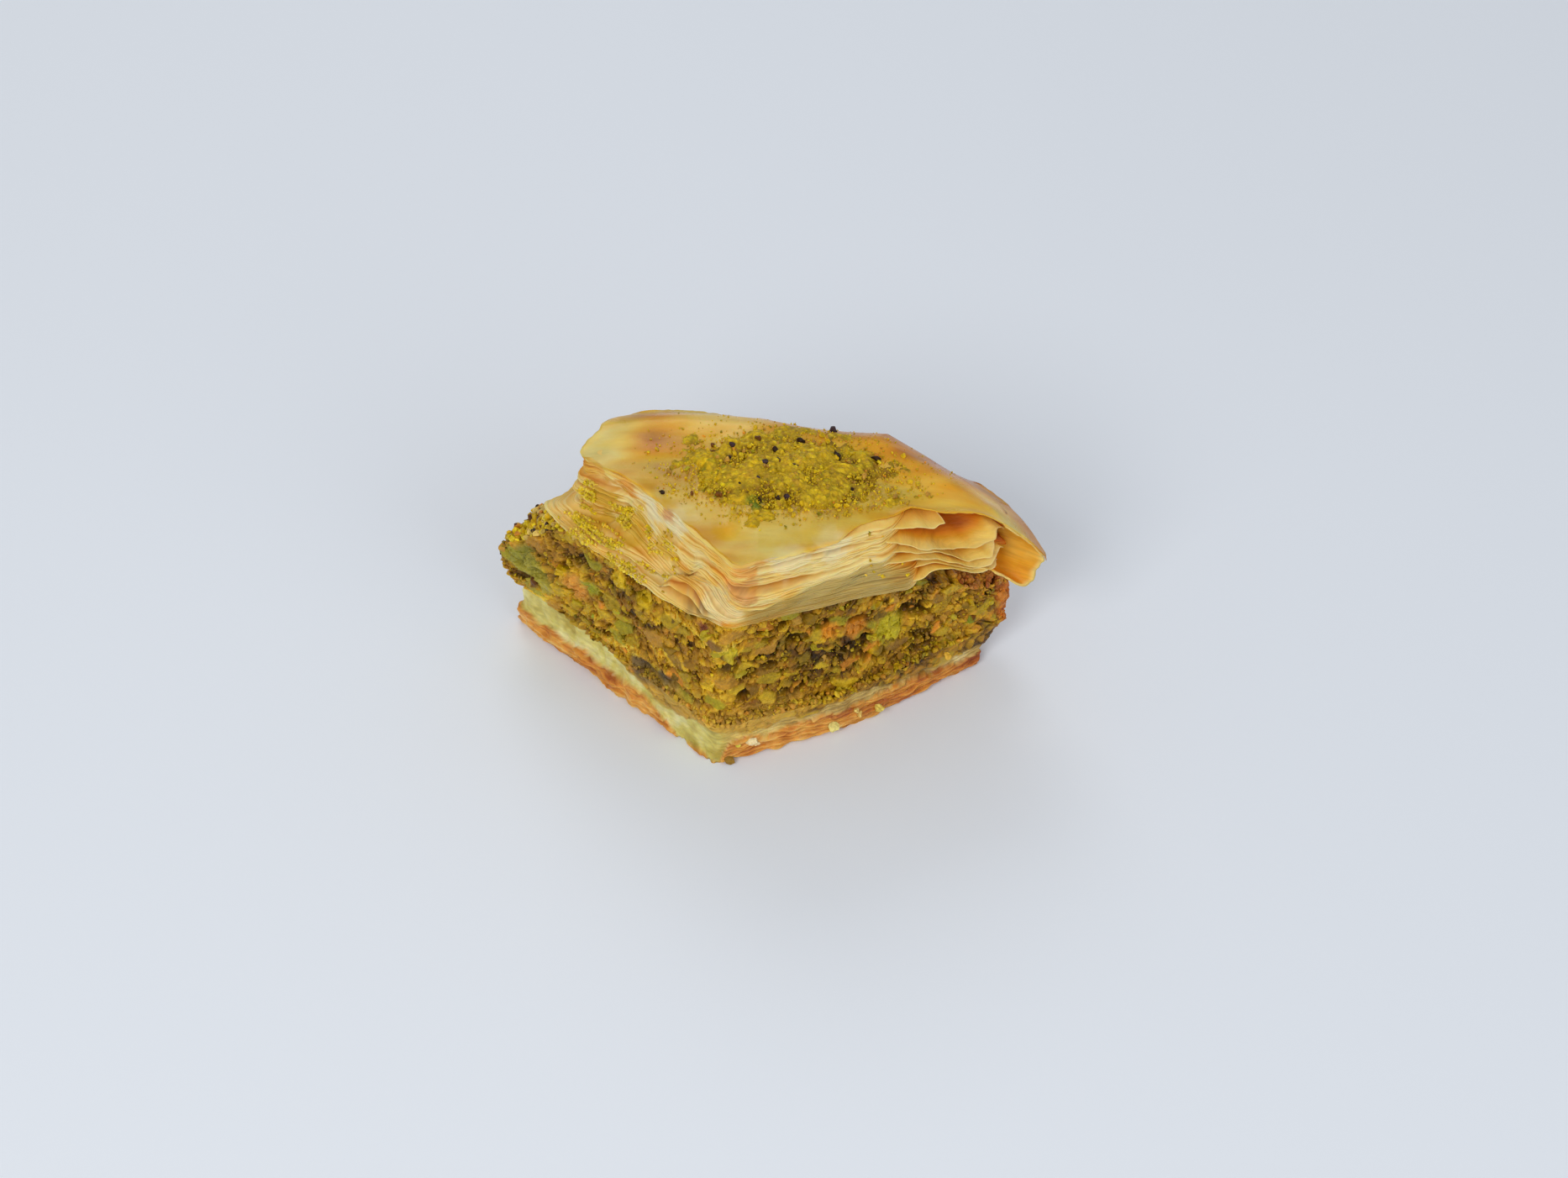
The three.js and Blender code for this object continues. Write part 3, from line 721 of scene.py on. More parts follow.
def base_look(x, y, z):
    """How far out the base's side stands, in millimetres, and its colour."""
    left = on_left(x, y)
    crust_top = mix(np.interp(x, *CRUST_RIGHT), np.interp(x, *CRUST_LEFT), left)
    crust_top = crust_top + 0.6 * lumps(x, y, 0, 2.5, 14) + 0.35 * rough(x, y, z, 0.9, 9, 2)
    crust = fall(-0.15, 0.15, z - crust_top)
    pale_top = mix(np.interp(x, *PALE_RIGHT), np.interp(x, *PALE_LEFT), left)
    pressed = step(-0.5, 0.5, z - pale_top - 0.9 * rough(x, y, z, 2.4, 15)) * (1 - crust)
    ragged, groove = flakes(x, y, z)

    soft = -0.6 + 0.5 * rough(x, y, z, 3, 16, 4) + (1 - left) * (0.4 * ragged - 0.2 * groove)
    crisp = mix(0.1, 0.4, left) + mix(1.0, 0.7, left) * ragged - mix(0.25, 0.1, left) * groove
    crisp = crisp + left * 0.4 * rough(x, y, z * 1.5, 1.3, 17) - 0.6 * fall(0, 0.6, z)
    relief, filling = filling_look(x, y, z)

    tone = 0.48 + 0.4 * rough(x, y, z, 3, 18, 4) + 0.15 * rough(x, y, z, 0.8, 8, 2)
    # The pale layer is painted darker in the grooves between flakes: painted shade.
    warm = shaded(tone, WARM_TONES) * (1 - 0.3 * groove[..., None])
    warm = tinted(warm, srgb(232, 202, 108), 0.6 * fall(4, 12, np.abs(x + 6)))
    pale = tinted(warm, shaded(tone, PALE_TONES), left)
    # The crust is painted browner in its grooves and paler on the flakes that stand out: painted
    # shade and painted light.
    tone = 0.42 + 0.34 * rough(x, y, z * 1.5, 2.4, 19) + 0.3 * groove - 0.2 * ragged
    tone = tone + 0.4 * step(8, 26, x) + 0.08 * left
    line = 0.7 * step(0.1, 0.6, lumps(x, y, 0, 5, 20)) * (1 - left)
    line = line * fall(0.05, 0.35, np.abs(z - crust_top + 0.35))
    browned = tinted(shaded(tone, CRUST_TONES), srgb(132, 44, 18), line)
    colour = tinted(tinted(pale, filling, pressed), browned, crust)
    wall = fall(0.6, 2.0, from_back(x, y, BASE_HEAD) + 0.5 * lumps(x, y, z, 2, 10))
    colour = tinted(colour, browned, wall * (1 - crust))
    out = mix(mix(soft, 0.9 * relief - 0.3, pressed), crisp, crust)
    return out, colour


def make_base():
    count, levels = BASE_GRID
    rings, colours = [], []
    for level in range(levels):
        edge = outline(blended(BASE_FOOT, BASE_HEAD, level / (levels - 1)), count)
        z = base_top(edge[:, 0]) * level / (levels - 1)
        out, colour = base_look(*edge.T, z)
        plan = inward(edge, -out)
        rings.append(np.column_stack([plan, base_top(plan[:, 0]) * level / (levels - 1)]))
        colours.append(colour)
    low = face_rings(rings[0][:, :2], [0.9, 0.5, 0.2, 0.05], lambda a, b: np.zeros_like(a))
    high = face_rings(rings[-1][:, :2], BASE_TOP_SHARES, lambda a, b: base_top(a))
    relief, high_colours = filling_look(high[..., 0], high[..., 1], high[..., 2])
    on_edge = np.array(BASE_TOP_SHARES)[:, None] < 0.1
    high[..., 2] += on_edge * (0.6 * relief - 0.1)
    colours = np.vstack([[colours[0]] * 4, colours, high_colours])
    middle = centre_point(lambda a, b: base_top(a))
    return ring_body("base", np.vstack([low, rings, high]), colours, [[*CENTRE, 0]], middle)


# Crumbs stuck to the crust, as (place, size, colour).
CRUST_CRUMBS = (
    ((9.0, -13.1, 1.5), 1.5, srgb(240, 222, 130)),
    ((12.4, -11.4, 2.2), 1.1, srgb(232, 200, 110)),
    ((12.0, -11.6, 3.2), 0.9, srgb(232, 200, 110)),
    ((15.0, -9.7, 1.5), 1.5, srgb(236, 212, 100)),
    ((-2.1, -17.2, 3.2), 1.3, srgb(250, 226, 170)),
    ((-1.4, -16.9, 2.5), 1.0, srgb(250, 226, 170)),
    ((-3.8, -17.7, 3.0), 0.8, srgb(216, 204, 70)),
    ((-5.0, -18.6, 0.7), 1.3, srgb(150, 112, 30)),
    ((24.6, -3.2, 5.0), 1.2, srgb(236, 186, 60)),
)


def make_crust_crumbs():
    middles, sizes, colours = (np.array(column, float) for column in zip(*CRUST_CRUMBS))
    return scatter("crust_crumbs", middles, sizes, colours, colours, 2, 32)


# The top pastry.

SHEET_TONES = ((0.0, CREAM), (0.32, PALE), (0.58, GOLD), (0.82, AMBER), (1.0, TOASTED))

# The middle of a gap between two of the lower sheets of the left side.
LENS = (-7.9, -14.3, 24.2)

# Patches on the pastry, as (place, reach, colour). Most are where syrup has darkened it or left it
# pale; the two white-cream ones at the top of the left side are painted highlights, and the dark
# brown one under the right tip's leaves is painted shadow.
PASTRY_SPOTS = (
    ((-18.6, -0.1, 33.9), 3.0, srgb(232, 146, 48)),
    ((-21.5, 3.0, 34.2), 2.6, srgb(236, 166, 70)),
    ((-22.0, 2.0, 30.0), 3.4, srgb(224, 164, 84)),
    # Painted highlights along the top of the left side.
    ((-15.0, -4.0, 32.8), 3.2, srgb(252, 238, 196)),
    ((-11.5, -7.4, 34.5), 2.8, srgb(252, 236, 190)),
    ((-12.8, -6.6, 35.0), 1.3, srgb(214, 146, 84)),
    ((-22.0, 1.5, 28.0), 4.4, srgb(224, 172, 34)),
    ((-17.5, -2.6, 28.4), 4.0, srgb(226, 176, 36)),
    ((-12.5, -7.5, 29.5), 3.0, srgb(228, 180, 44)),
    (LENS, 2.6, srgb(150, 132, 84)),
    ((-2.2, -15.6, 35.2), 3.0, srgb(236, 156, 58)),
    ((-2.8, -16.6, 30.0), 3.0, srgb(226, 156, 86)),
    ((-6.0, -15.9, 27.2), 3.6, srgb(250, 230, 168)),
    ((3.4, -14.2, 33.6), 3.6, srgb(252, 232, 180)),
    ((9.0, -11.4, 33.0), 3.4, srgb(252, 232, 180)),
    # Painted shadow in the gap under the right tip's leaves.
    ((26.0, 0.5, 19.2), 3.8, srgb(124, 62, 26)),
)


def with_spots(colour, x, y, z, strength=0.75):
    for middle, reach, own in PASTRY_SPOTS:
        ragged = reach * (1 + 0.55 * rough(x, y, z * 2, 1.7, 301))
        colour = tinted(colour, own, strength * spot(x, y, z, middle, ragged))
    return colour


def sheet_edges():
    """For each sheet, round the outline: its lower and upper share of the stack, how far out it
    reaches, and how deep the groove over it is."""
    x, y = stack_outline(0.5).T
    right = front_right(x, y)
    random = np.random.default_rng(61)
    gaps, depths, outs = [], [], []
    bundle, left_in_bundle, setback = 0, 0, 0
    for sheet in range(SHEETS):
        if left_in_bundle == 0:
            bundle += 1
            left_in_bundle = random.integers(3, 6)
            setback = random.uniform(-0.5, 0.5) * mix(1.7, 1, right)
        left_in_bundle -= 1
        share = (sheet + 0.5) / SHEETS
        tight = right * soaked_zone(x, share)
        wide = np.maximum(0, lumps(x, y, bundle * 8.7, 8, 62) + 0.15) if left_in_bundle == 0 else 0
        fine = np.maximum(0, rough(x, y, sheet * 7.3, 5, 63, 2) - 0.1)
        lens = 2.2 * spot(x, y, LENS[2], LENS, 4.2) if sheet == 2 else 0
        gaps.append((0.03 + 0.4 * fine + 1.7 * wide) * (1 - 0.8 * tight) + lens)
        depths.append((0.08 + 0.9 * fine + 1.8 * wide) * (1 - 0.75 * tight) + 0.9 * lens)
        face = 0.8 * lumps(x, y, share * 17, 6, 64) + 0.35 * lumps(x, y, share * 17, 2.8, 65)
        ledges = setback + mix(1.3, 0.9, right) * lumps(x, y, bundle * 8.7, 9, 66)
        ragged = 0.3 * lumps(x, y, sheet * 6.1, 3.4, 67) + 0.16 * lumps(x, y, sheet * 3.7, 0.9, 68)
        outs.append((0.7 * face + ledges + ragged) * (1 - 0.7 * tight) - 0.3 * tight - 0.2)
    gaps, depths, outs = np.array(gaps), np.array(depths), np.array(outs)
    total = gaps[:-1].sum(0) + SHEETS * SHEET_THICKNESS
    lower = np.vstack([np.zeros(len(x)), np.cumsum(gaps[:-1] + SHEET_THICKNESS, axis=0)]) / total
    upper = lower + SHEET_THICKNESS / total
    return lower, upper, outs, depths


def make_stack():
    lower, upper, outs, depths = sheet_edges()
    rings, colours = [], []
    random = np.random.default_rng(71)
    for sheet in range(SHEETS):
        middle = (sheet + 0.5) / SHEETS
        plan = stack_outline(middle)
        pocket = POCKET_DEPTH * openness(*plan.T) * opened_at(plan[:, 0], middle)
        own = random.uniform(-0.5, 0.5)
        profile = [(lower[sheet], 0.05, 0), (upper[sheet], 0.0, 0)]
        if sheet + 1 < SHEETS:
            profile.append(((upper[sheet] + lower[sheet + 1]) / 2, depths[sheet], 1))
        for share, depth, groove in profile:
            moved = inward(plan, depth + pocket - outs[sheet])
            x, y, z = *moved.T, stack_height(*moved.T, share)
            rings.append(np.column_stack([x, y, z]))
            tone = 0.2 + 0.2 * own + 0.34 * rough(x, y, z * 1.5, 6, 72)
            tone = tone + 0.12 * lumps(x, y, z * 3, 1.6, 73)
            # Grooves are painted further towards amber the deeper they are: painted shade in the
            # gaps between sheets.
            tone = tone + groove * (0.2 + 0.25 * np.minimum(depth, 1)) + 0.3 * at_back(*plan.T)
            tone = tone - 0.06 * front_right(*plan.T)
            # Inside the pocket at the right tip the sheets are painted towards amber: painted shade
            # in the pocket.
            colour = shaded(tone + 0.42 * np.minimum(pocket / 3, 1), SHEET_TONES)
            tight = front_right(*plan.T) * soaked_zone(plan[:, 0], middle)
            tight = tight * (1 - np.minimum(pocket, 1))
            # The soaked band: darkened in its grooves as painted shade, and darker towards its foot.
            olive = SOAKED * mix(1.0, 0.8, groove) * mix(0.8, 1.15, min(1, middle / 0.5))
            colour = tinted(colour, olive, 0.78 * tight)
            # Groove rings darkened: painted shade in the gaps between sheets.
            colours.append(with_spots(colour, x, y, z) * mix(1, 0.76, groove))
    top_tone = shaded(0.3 + 0 * rings[-1][:, 0], SHEET_TONES)

    def foot(a, b):
        return stack_height(a, b, 0)

    def head(a, b):
        return stack_height(a, b, 1) - 0.15

    low = face_rings(rings[0][:, :2], [0.8, 0.5, 0.25, 0.1], foot)
    high = face_rings(rings[-1][:, :2], [0.04, 0.1, 0.2, 0.4, 0.7], head)
    colours = np.array([colours[0]] * len(low) + colours + [top_tone] * len(high))
    body = np.vstack([low, rings, high])
    stack = ring_body("stack", body, colours, centre_point(foot), centre_point(head))
    return stack, np.array(rings)


def make_leaves():
    """Sheets that stand open at the right tip, each a thin closed strip rooted in the stack."""
    rows = np.array([0, 0.2, 0.5, 0.9, 1.4, 2.0, 2.7, 3.6, 4.8, 6.4, 8.4])
    points, faces, colours = [], [], []
    top = stack_outline(1.0)
    run = np.flatnonzero((top[:, 0] > 5.0) & (top[:, 1] < -1.0))
    fine_x = np.linspace(-1, 45, 140)
    start = 0
    for leaf, edge in enumerate(LEAF_EDGES):
        root = 0.94 - 0.86 * leaf / (len(LEAF_EDGES) - 1)
        plan = stack_outline(float(np.mean(edge)))[run]
        x, y = plan.T
        smoothed = np.convolve(np.interp(fine_x, LEAF_STATIONS, edge), np.ones(7) / 7, "same")
        wanted = np.interp(x, fine_x, smoothed)
        wave = 0.05 * lumps(x, y, leaf * 11, 4.5, 81) + 0.03 * lumps(x, y, leaf * 7, 2.2, 82)
        edge_out = 0.6 * lumps(x, y, leaf * 9, 5, 83) + 0.3 * lumps(x, y, leaf * 5, 1.6, 84)
        edge_out = edge_out + 0.12 * lumps(x, y, leaf * 5, 0.7, 88)
        open_here = step(*POCKET_X, x) * opened_at(x, root)
        short = LEAF_SHORT[leaf] * step(29, 35.5, x)
        if leaf == 0:
            short = short + 6.0 * step(23.3, 24.0, x)
        grid = []
        for depth in rows:
            freed = open_here * fall(0, 7.5, depth)
            share = mix(root, wanted + wave, freed)
            share = share - 0.03 * freed * fall(0, 0.8, depth) * lumps(x, y, leaf * 3, 3, 89)
            back = depth - edge_out * fall(0, 4, depth) + 0.9 * (1 - open_here) + short
            moved = inward(plan, back)
            height = stack_height(*moved.T, np.clip(share, 0.01, 0.985))
            grid.append(np.column_stack([moved, height]))
        grid = np.array(grid)
        thick = mix(0.35, 1.0, step(0, 1, rows))[:, None] * LEAF_THICKNESS
        under = grid.copy()
        under[..., 2] -= thick
        loop = np.vstack([grid, under[::-1]])
        body = grid_faces(len(loop), len(run), closed=False, first=start)
        count = len(run)
        low = start + np.arange(count - 1)
        high = low + (len(loop) - 1) * count
        seam = np.column_stack([high, high + 1, low + 1, low])
        left_end = start + np.arange(len(loop)) * count
        ends = [left_end[::-1].tolist(), (left_end + count - 1).tolist()]
        faces += body.tolist() + seam.tolist() + ends
        points.append(loop.reshape(-1, 3))
        depth = np.hstack([rows, rows[::-1]])[:, None]
        x, y, z = loop[..., 0], loop[..., 1], loop[..., 2]
        # Each leaf is painted towards amber away from its edge, the top one less so: painted shade
        # in the pockets between leaves.
        inner = 0.2 if leaf == 0 else 0.75
        tone = 0.18 + 0.22 * rough(x, y, z, 6, 86) + inner * step(0.5, 3.8, depth)
        tone = tone - 0.1 * fall(0, 0.5, depth)
        colours.append(with_spots(shaded(tone, SHEET_TONES), x, y, z).reshape(-1, 3))
        start += loop.shape[0] * count
    return new_piece("leaves", np.vstack(points), faces, np.vstack(colours))


def make_tip_roll():
    """The outer sheets rolled round the right tip into a hollow scroll, its mouth to the front."""
    count, levels = ROLL_GRID
    length = np.concatenate([[0], np.cumsum(np.linalg.norm(np.diff(ROLL_SECTION, axis=0), axis=1))])
    at = np.linspace(0, length[-1], count)
    section = np.column_stack([np.interp(at, length, ROLL_SECTION[:, axis]) for axis in (0, 1)])
    for _ in range(30):
        section[1:-1] = (section[:-2] + 2 * section[1:-1] + section[2:]) / 4
    to_middle = ROLL_MIDDLE - section
    inner = section + ROLL_WALL * to_middle / np.linalg.norm(to_middle, axis=1, keepdims=True)
    loop = np.vstack([section, inner[::-1]])
    inside = np.repeat([0.0, 1.0], count)
    joined = fall(0.14, 0.34, at / length[-1])
    joined = np.concatenate([joined, joined[::-1]])
    rings, colours = [], []
    for share in np.linspace(0, 1, levels):
        x, z = mix(loop, ROLL_MIDDLE, 0.3 * share).T
        y = inside_front(x)
        rim = 0.4 * lumps(x, 0, z, 1.7, 141) + 0.2 * lumps(x, 0, z, 0.7, 142)
        along = ROLL_LENGTH * share + rim * (1 - share)
        x, y, z = (axis + way * along for axis, way in zip((x, y, z), ROLL_WAY))
        dent = 0.3 * lumps(x, y, z, 2.6, 143)
        under_sheet = top_sheet_height(x, y) - 0.15 - 0.3 * inside
        z = mix(np.minimum(z + dent, under_sheet), under_sheet, joined)
        rings.append(np.column_stack([x + dent, y, z]))
        # The roll's inside is painted orange: partly wet syrup, partly painted shade under the top
        # sheet's rim.
        tone = 0.36 + 0.34 * rough(x, y, z, 2.6, 144) + 0.18 * inside
        colour = tinted(shaded(tone, SHEET_TONES), srgb(238, 170, 44), 0.6 * inside)
        colour = tinted(colour, srgb(250, 212, 128), 0.7 * fall(0, 0.1, share))
        colours.append(colour)
    outer = np.arange(count - 1)
    beside = 2 * count - 1 - outer
    mouth = np.column_stack([outer, beside, beside - 1, outer + 1])
    far = np.column_stack([outer, outer + 1, beside - 1, beside]) + (levels - 1) * 2 * count
    faces = grid_faces(levels, 2 * count).tolist() + mouth.tolist() + far.tolist()
    return new_piece("tip_roll", np.vstack(rings), faces, np.vstack(colours))


def top_sheet_height(x, y):
    wrinkle = 0.14 * lumps(x * 0.35, y, 0, 2.6, 91) + 0.16 * lumps(x, y, 0, 5.5, 92)
    blister = 0.45 * step(0.45, 0.9, lumps(x, y, 3, 5, 93))
    return stack_top(x, y) + wrinkle + blister + 0.05


TOP_TONES = ((0.0, srgb(248, 212, 116)), (0.25, srgb(244, 194, 78)), (0.5, srgb(232, 164, 38)),
             (0.75, srgb(214, 136, 32)), (1.0, srgb(182, 102, 22)))


def top_colour(x, y, z):
    """Cream at the left corner, partly a paler sheet and partly a painted highlight of its gloss,
    gold and orange across the middle, browned along the back right, and yellow where ground nuts
    have coloured the sheet."""
    along = x * 0.9 + y * 0.4
    patches = rough(along * 0.55, y * 1.3 - x * 0.3, 0, 6, 94)
    amount = 0.36 + 0.42 * patches + 0.1 * step(-12, 22, x) + 0.18 * step(20, 29, x)
    amount = amount + 0.36 * at_back(x, y) * step(-14, 4, x)
    # The left corner painted cream: partly the sheet's paler colour, partly a painted highlight of
    # its gloss.
    amount = amount - 0.45 * fall(3, 9, np.hypot(x + 22, y - 8))
    amount = amount + 0.08 * rough(along * 0.4, y * 2, 0, 2, 99)
    amount = amount + 0.32 * fall(2, 7, np.hypot((x + 14) * 0.7, y - 3.5))
    amount = amount - 0.26 * fall(4, 11, np.hypot(x - 1, y + 13))
    colour = shaded(amount, TOP_TONES)
    dusted = fall(0.7, 1.55, off_heap(x, y) + 0.25 * rough(x, y, 0, 3, 98))
    return with_spots(tinted(colour, srgb(226, 172, 34), 0.5 * dusted), x, y, z, 0.25)


def make_top_sheet():
    edge = stack_outline(1.0, TOP_SHEET_POINTS)
    x, y = edge.T
    ragged = 0.5 * lumps(x, y, 0, 6, 95) + 0.3 * lumps(x, y, 0, 1.8, 96)
    ragged = ragged + 0.12 * lumps(x, y, 0, 0.6, 97)
    ragged = (0.2 + ragged) * fall(32, 35, x)
    set_back = 2.6 * step(9, 12, x + 0.6 * lumps(x, y, 0, 2, 90)) * fall(19, 24, x)
    set_back = set_back * front_right(x, y)
    edge = inward(edge, set_back - ragged)
    shares = np.concatenate([np.linspace(0, 0.12, 8), np.linspace(0.14, 0.95, 36)])
    top = face_rings(edge, shares, top_sheet_height)
    x, y = edge.T
    lift = 0.4 * np.maximum(0, lumps(x, y, 5, 5, 98)) + 0.6 * openness(x, y) * fall(26, 32, x)
    top[..., 2] += lift * fall(0, 0.12, shares)[:, None]
    under = top[:9].copy()
    under[..., 2] -= TOP_SHEET_THICKNESS
    rings = np.vstack([under[::-1], top])
    colours = top_colour(rings[..., 0], rings[..., 1], rings[..., 2])
    low = centre_point(lambda a, b: top_sheet_height(a, b) - 0.3)
    return ring_body("top_sheet", rings, colours, low, centre_point(top_sheet_height))


# Ground pistachio on top.

DUST_COLOURS = ((srgb(222, 182, 18), 8), (srgb(206, 172, 16), 4), (srgb(244, 212, 34), 3),
                (srgb(184, 152, 14), 3), (GREEN, 1), (TAN, 1))
CRUMB_COLOURS = ((srgb(222, 182, 18), 8), (srgb(206, 172, 16), 4), (BRIGHT_YELLOW, 3), (GREEN, 0.7),
                 (TAN, 1.5), (ORANGE, 0.4))
SIDE_COLOURS = ((BRIGHT_YELLOW, 4), (srgb(238, 192, 44), 4), (YELLOW, 1))
LEDGE_COLOURS = ((BRIGHT_YELLOW, 4), (srgb(244, 208, 72), 5))
SKIN_COLOURS = ((PURPLE, 3), (DARK, 2), (BROWN, 1))
DUST_BALANCE = np.array([0.92, 0.9, 0.6])

# A spot of greener nuts, in plan.
GREEN_SPOT = (-1.5, -5.6)

# Nuts scattered about the heap, as (number, spread in shares of the heap, least size, greatest
# size, power).
TOP_CRUMBS = (480, 0.42, 0.3, 0.85, 2.2)
TOP_FINES = (4300, 0.47, 0.15, 0.42, 1.4)
TOP_SKINS = (26, 0.5, 0.6, 1.3, 1.2)

# Crumbs caught on the stack's side, as (number, place, reach, least size, greatest size).
SIDE_CRUMBS = (
    (60, (-22.5, 2.0, 27.6), 3.8, 0.25, 0.7),
    (60, (-18.0, -2.2, 27.6), 3.6, 0.25, 0.7),
    (40, (-12.5, -7.5, 29.5), 2.8, 0.25, 0.7),
    (14, (17.0, -7.0, 29.5), 6.0, 0.4, 1.0),
)

# Finer crumbs caught on the left side's ledge, as (number, place).
LEDGE_CRUMBS = ((480, (-22.5, 2.0, 27.6)), (480, (-17.6, -2.4, 27.6)), (330, (-24.6, 1.0, 25.4)),
                (330, (-20.0, -3.4, 25.0)), (220, (-15.4, -7.4, 25.2)))


def make_top_dust():
    """The heap's powder, clotted into small clumps that break up towards its edge."""
    count, levels = DUST_GRID
    turn = np.arange(count) * 2 * np.pi / count
    way = HEAP_SIZE * np.column_stack([np.cos(turn), np.sin(turn)])
    reach = np.full(count, 1.15)
    for a, b, margin in TOP_EDGES:
        here = inside_edge(*HEAP_MIDDLE, a, b)
        nearer = here - inside_edge(*(HEAP_MIDDLE + way).T, a, b)
        room = (here - margin) / np.maximum(nearer, 1e-6)
        reach = np.where(nearer > 0, np.minimum(reach, room), reach)
    share = np.linspace(1, 0.01, levels)[:, None]
    x = HEAP_MIDDLE[0] + reach * share * way[:, 0]
    y = HEAP_MIDDLE[1] + reach * share * way[:, 1]
    cover = fall(0.45, 1.05, share + 0.3 * rough(x, y, 0, 3.4, 112))
    far, border, number, _ = grains(x, y, 0 * x, 0.75, 113)
    far_fine, _, number_fine, _ = grains(x, y, 0 * x, 0.42, 121)
    clots = rough(x, y, 0, 1.9, 131)
    relief = 0.3 * (1 - far) + 0.24 * (1 - far_fine) + 0.42 * clots
    sheet = top_sheet_height(x, y)
    z = sheet - 0.3 + cover * (0.28 + HEAP_HEIGHT * heap(x, y) * 0.75 + relief)
    z[0] = sheet[0] - 0.4
    colour = tinted(picked(DUST_COLOURS, number), picked(DUST_COLOURS, number_fine), 0.5 + 0 * x)
    # The clumps are painted lighter where they stand higher and darker in the dips between clots and
    # the cracks between grains: painted light and painted shade.
    colour = colour * (0.86 + 0.5 * np.clip(relief - 0.25, -0.4, 0.5))[..., None]
    colour = tinted(colour, srgb(150, 104, 10), 0.6 * step(0.0, 0.5, -clots))
    colour = tinted(colour, srgb(120, 82, 8), 0.25 * fall(0.0, 0.16, border))
    green = spot(x, y, z, (*GREEN_SPOT, float(z.mean())), 1.6)
    colour = tinted(colour, srgb(104, 140, 52), 0.75 * green) * DUST_BALANCE
    rings = np.dstack([x, y, z])
    low = [[*HEAP_MIDDLE, float(top_sheet_height(*HEAP_MIDDLE[:, None])[0]) - 0.4]]
    high = [[*HEAP_MIDDLE, float(z[-1].mean())]]
    return ring_body("top_dust", rings, colour, low, high, smooth=False)


def make_top_nuts(stack_rings):
    """Crumbs on the heap, strays over the whole of the top, and crumbs caught on the left ledge."""
    random = np.random.default_rng(101)

    def spots(number, share, size_low, size_high, power):
        """Places scattered about the heap, as far as the nuts lie, and sizes."""
        plan = HEAP_MIDDLE + random.normal(size=(number, 2)) * HEAP_SIZE * share
        sizes = mix(size_low, size_high, random.random(number) ** power)
        inside = np.ones(number, bool)
        for a, b, margin in TOP_EDGES:
            inside &= inside_edge(*plan.T, a, b) > margin
        plan, sizes = plan[inside], sizes[inside]
        lift = 0.15 * sizes + 0.75 * HEAP_HEIGHT * heap(*plan.T)
        return np.column_stack([plan, top_sheet_height(*plan.T) + lift]), sizes

    def caught(number, middle, reach, size_low, size_high):
        """Places on the stack's side about a point, in clusters, and sizes."""
        flat = stack_rings.reshape(-1, 3)
        near = flat[np.linalg.norm(flat - middle, axis=1) < reach]
        near = near[rough(*near.T, 2.4, 305) > -0.15]
        chosen = near[random.integers(0, len(near), number)]
        sizes = mix(size_low, size_high, random.random(number) ** 1.6)
        chosen[:, 2] += 0.2 * sizes
        return chosen, sizes

    def gathered(groups):
        middles, sizes = zip(*groups)
        return np.vstack(middles), np.concatenate(sizes)

    middles, sizes = gathered([spots(*TOP_CRUMBS)] + [caught(*row) for row in SIDE_CRUMBS])
    colours = drawn(CRUMB_COLOURS, len(middles), random)
    on_side = middles[:, 2] < stack_top(middles[:, 0], middles[:, 1]) - 1.5
    colours[on_side] = drawn(SIDE_COLOURS, int(on_side.sum()), random)
    crumbs = scatter("top_crumbs", middles, sizes, colours, colours * 0.8, 2, 102)

    strays = spots(*TOP_FINES)
    colours = drawn(CRUMB_COLOURS, len(strays[0]), random)
    ledge = [caught(number, middle, 4.0, 0.2, 0.6) for number, middle in LEDGE_CRUMBS]
    middles, sizes = gathered([strays] + ledge)
    on_ledge = drawn(LEDGE_COLOURS, len(middles) - len(colours), random)
    colours = np.vstack([colours, on_ledge])
    fines = scatter("top_fines", middles, sizes, colours, colours * 0.85, 1, 103)

    middles, sizes = spots(*TOP_SKINS)
    colours = drawn(SKIN_COLOURS, len(middles), random)
    skins = scatter("top_skins", middles, sizes, colours, colours * 1.3, 2, 104)
    return crumbs, fines, skins


# Materials.


def new_material(name):
    material = bpy.data.materials.new(name)
    material.use_nodes = True
    return material, material.node_tree, material.node_tree.nodes["Principled BSDF"]


def node(tree, kind, inputs=None, **settings):
    """A shader node with its settings, and with its inputs set to values or joined to sockets."""
    made = tree.nodes.new(kind)
    for key, value in settings.items():
        setattr(made, key, value)
    for key, value in (inputs or {}).items():
        if isinstance(value, bpy.types.NodeSocket):
            tree.links.new(value, made.inputs[key])
        else:
            made.inputs[key].default_value = value
    return made


def noise(tree, scale, detail=4.0, stretch=(1, 1, 1)):
    """Noise in space. Scale is lumps for each metre."""
    place = node(tree, "ShaderNodeTexCoord").outputs["Object"]
    place = node(tree, "ShaderNodeMapping", {"Vector": place, "Scale": stretch}).outputs["Vector"]
    inputs = {"Vector": place, "Scale": scale, "Detail": detail}
    return node(tree, "ShaderNodeTexNoise", inputs).outputs["Fac"]


def spread(tree, value, low, high):
    """A noise's middle range spread between two values."""
    inputs = {"Value": value, "From Min": 0.3, "From Max": 0.7, "To Min": low, "To Max": high}
    return node(tree, "ShaderNodeMapRange", inputs).outputs["Result"]


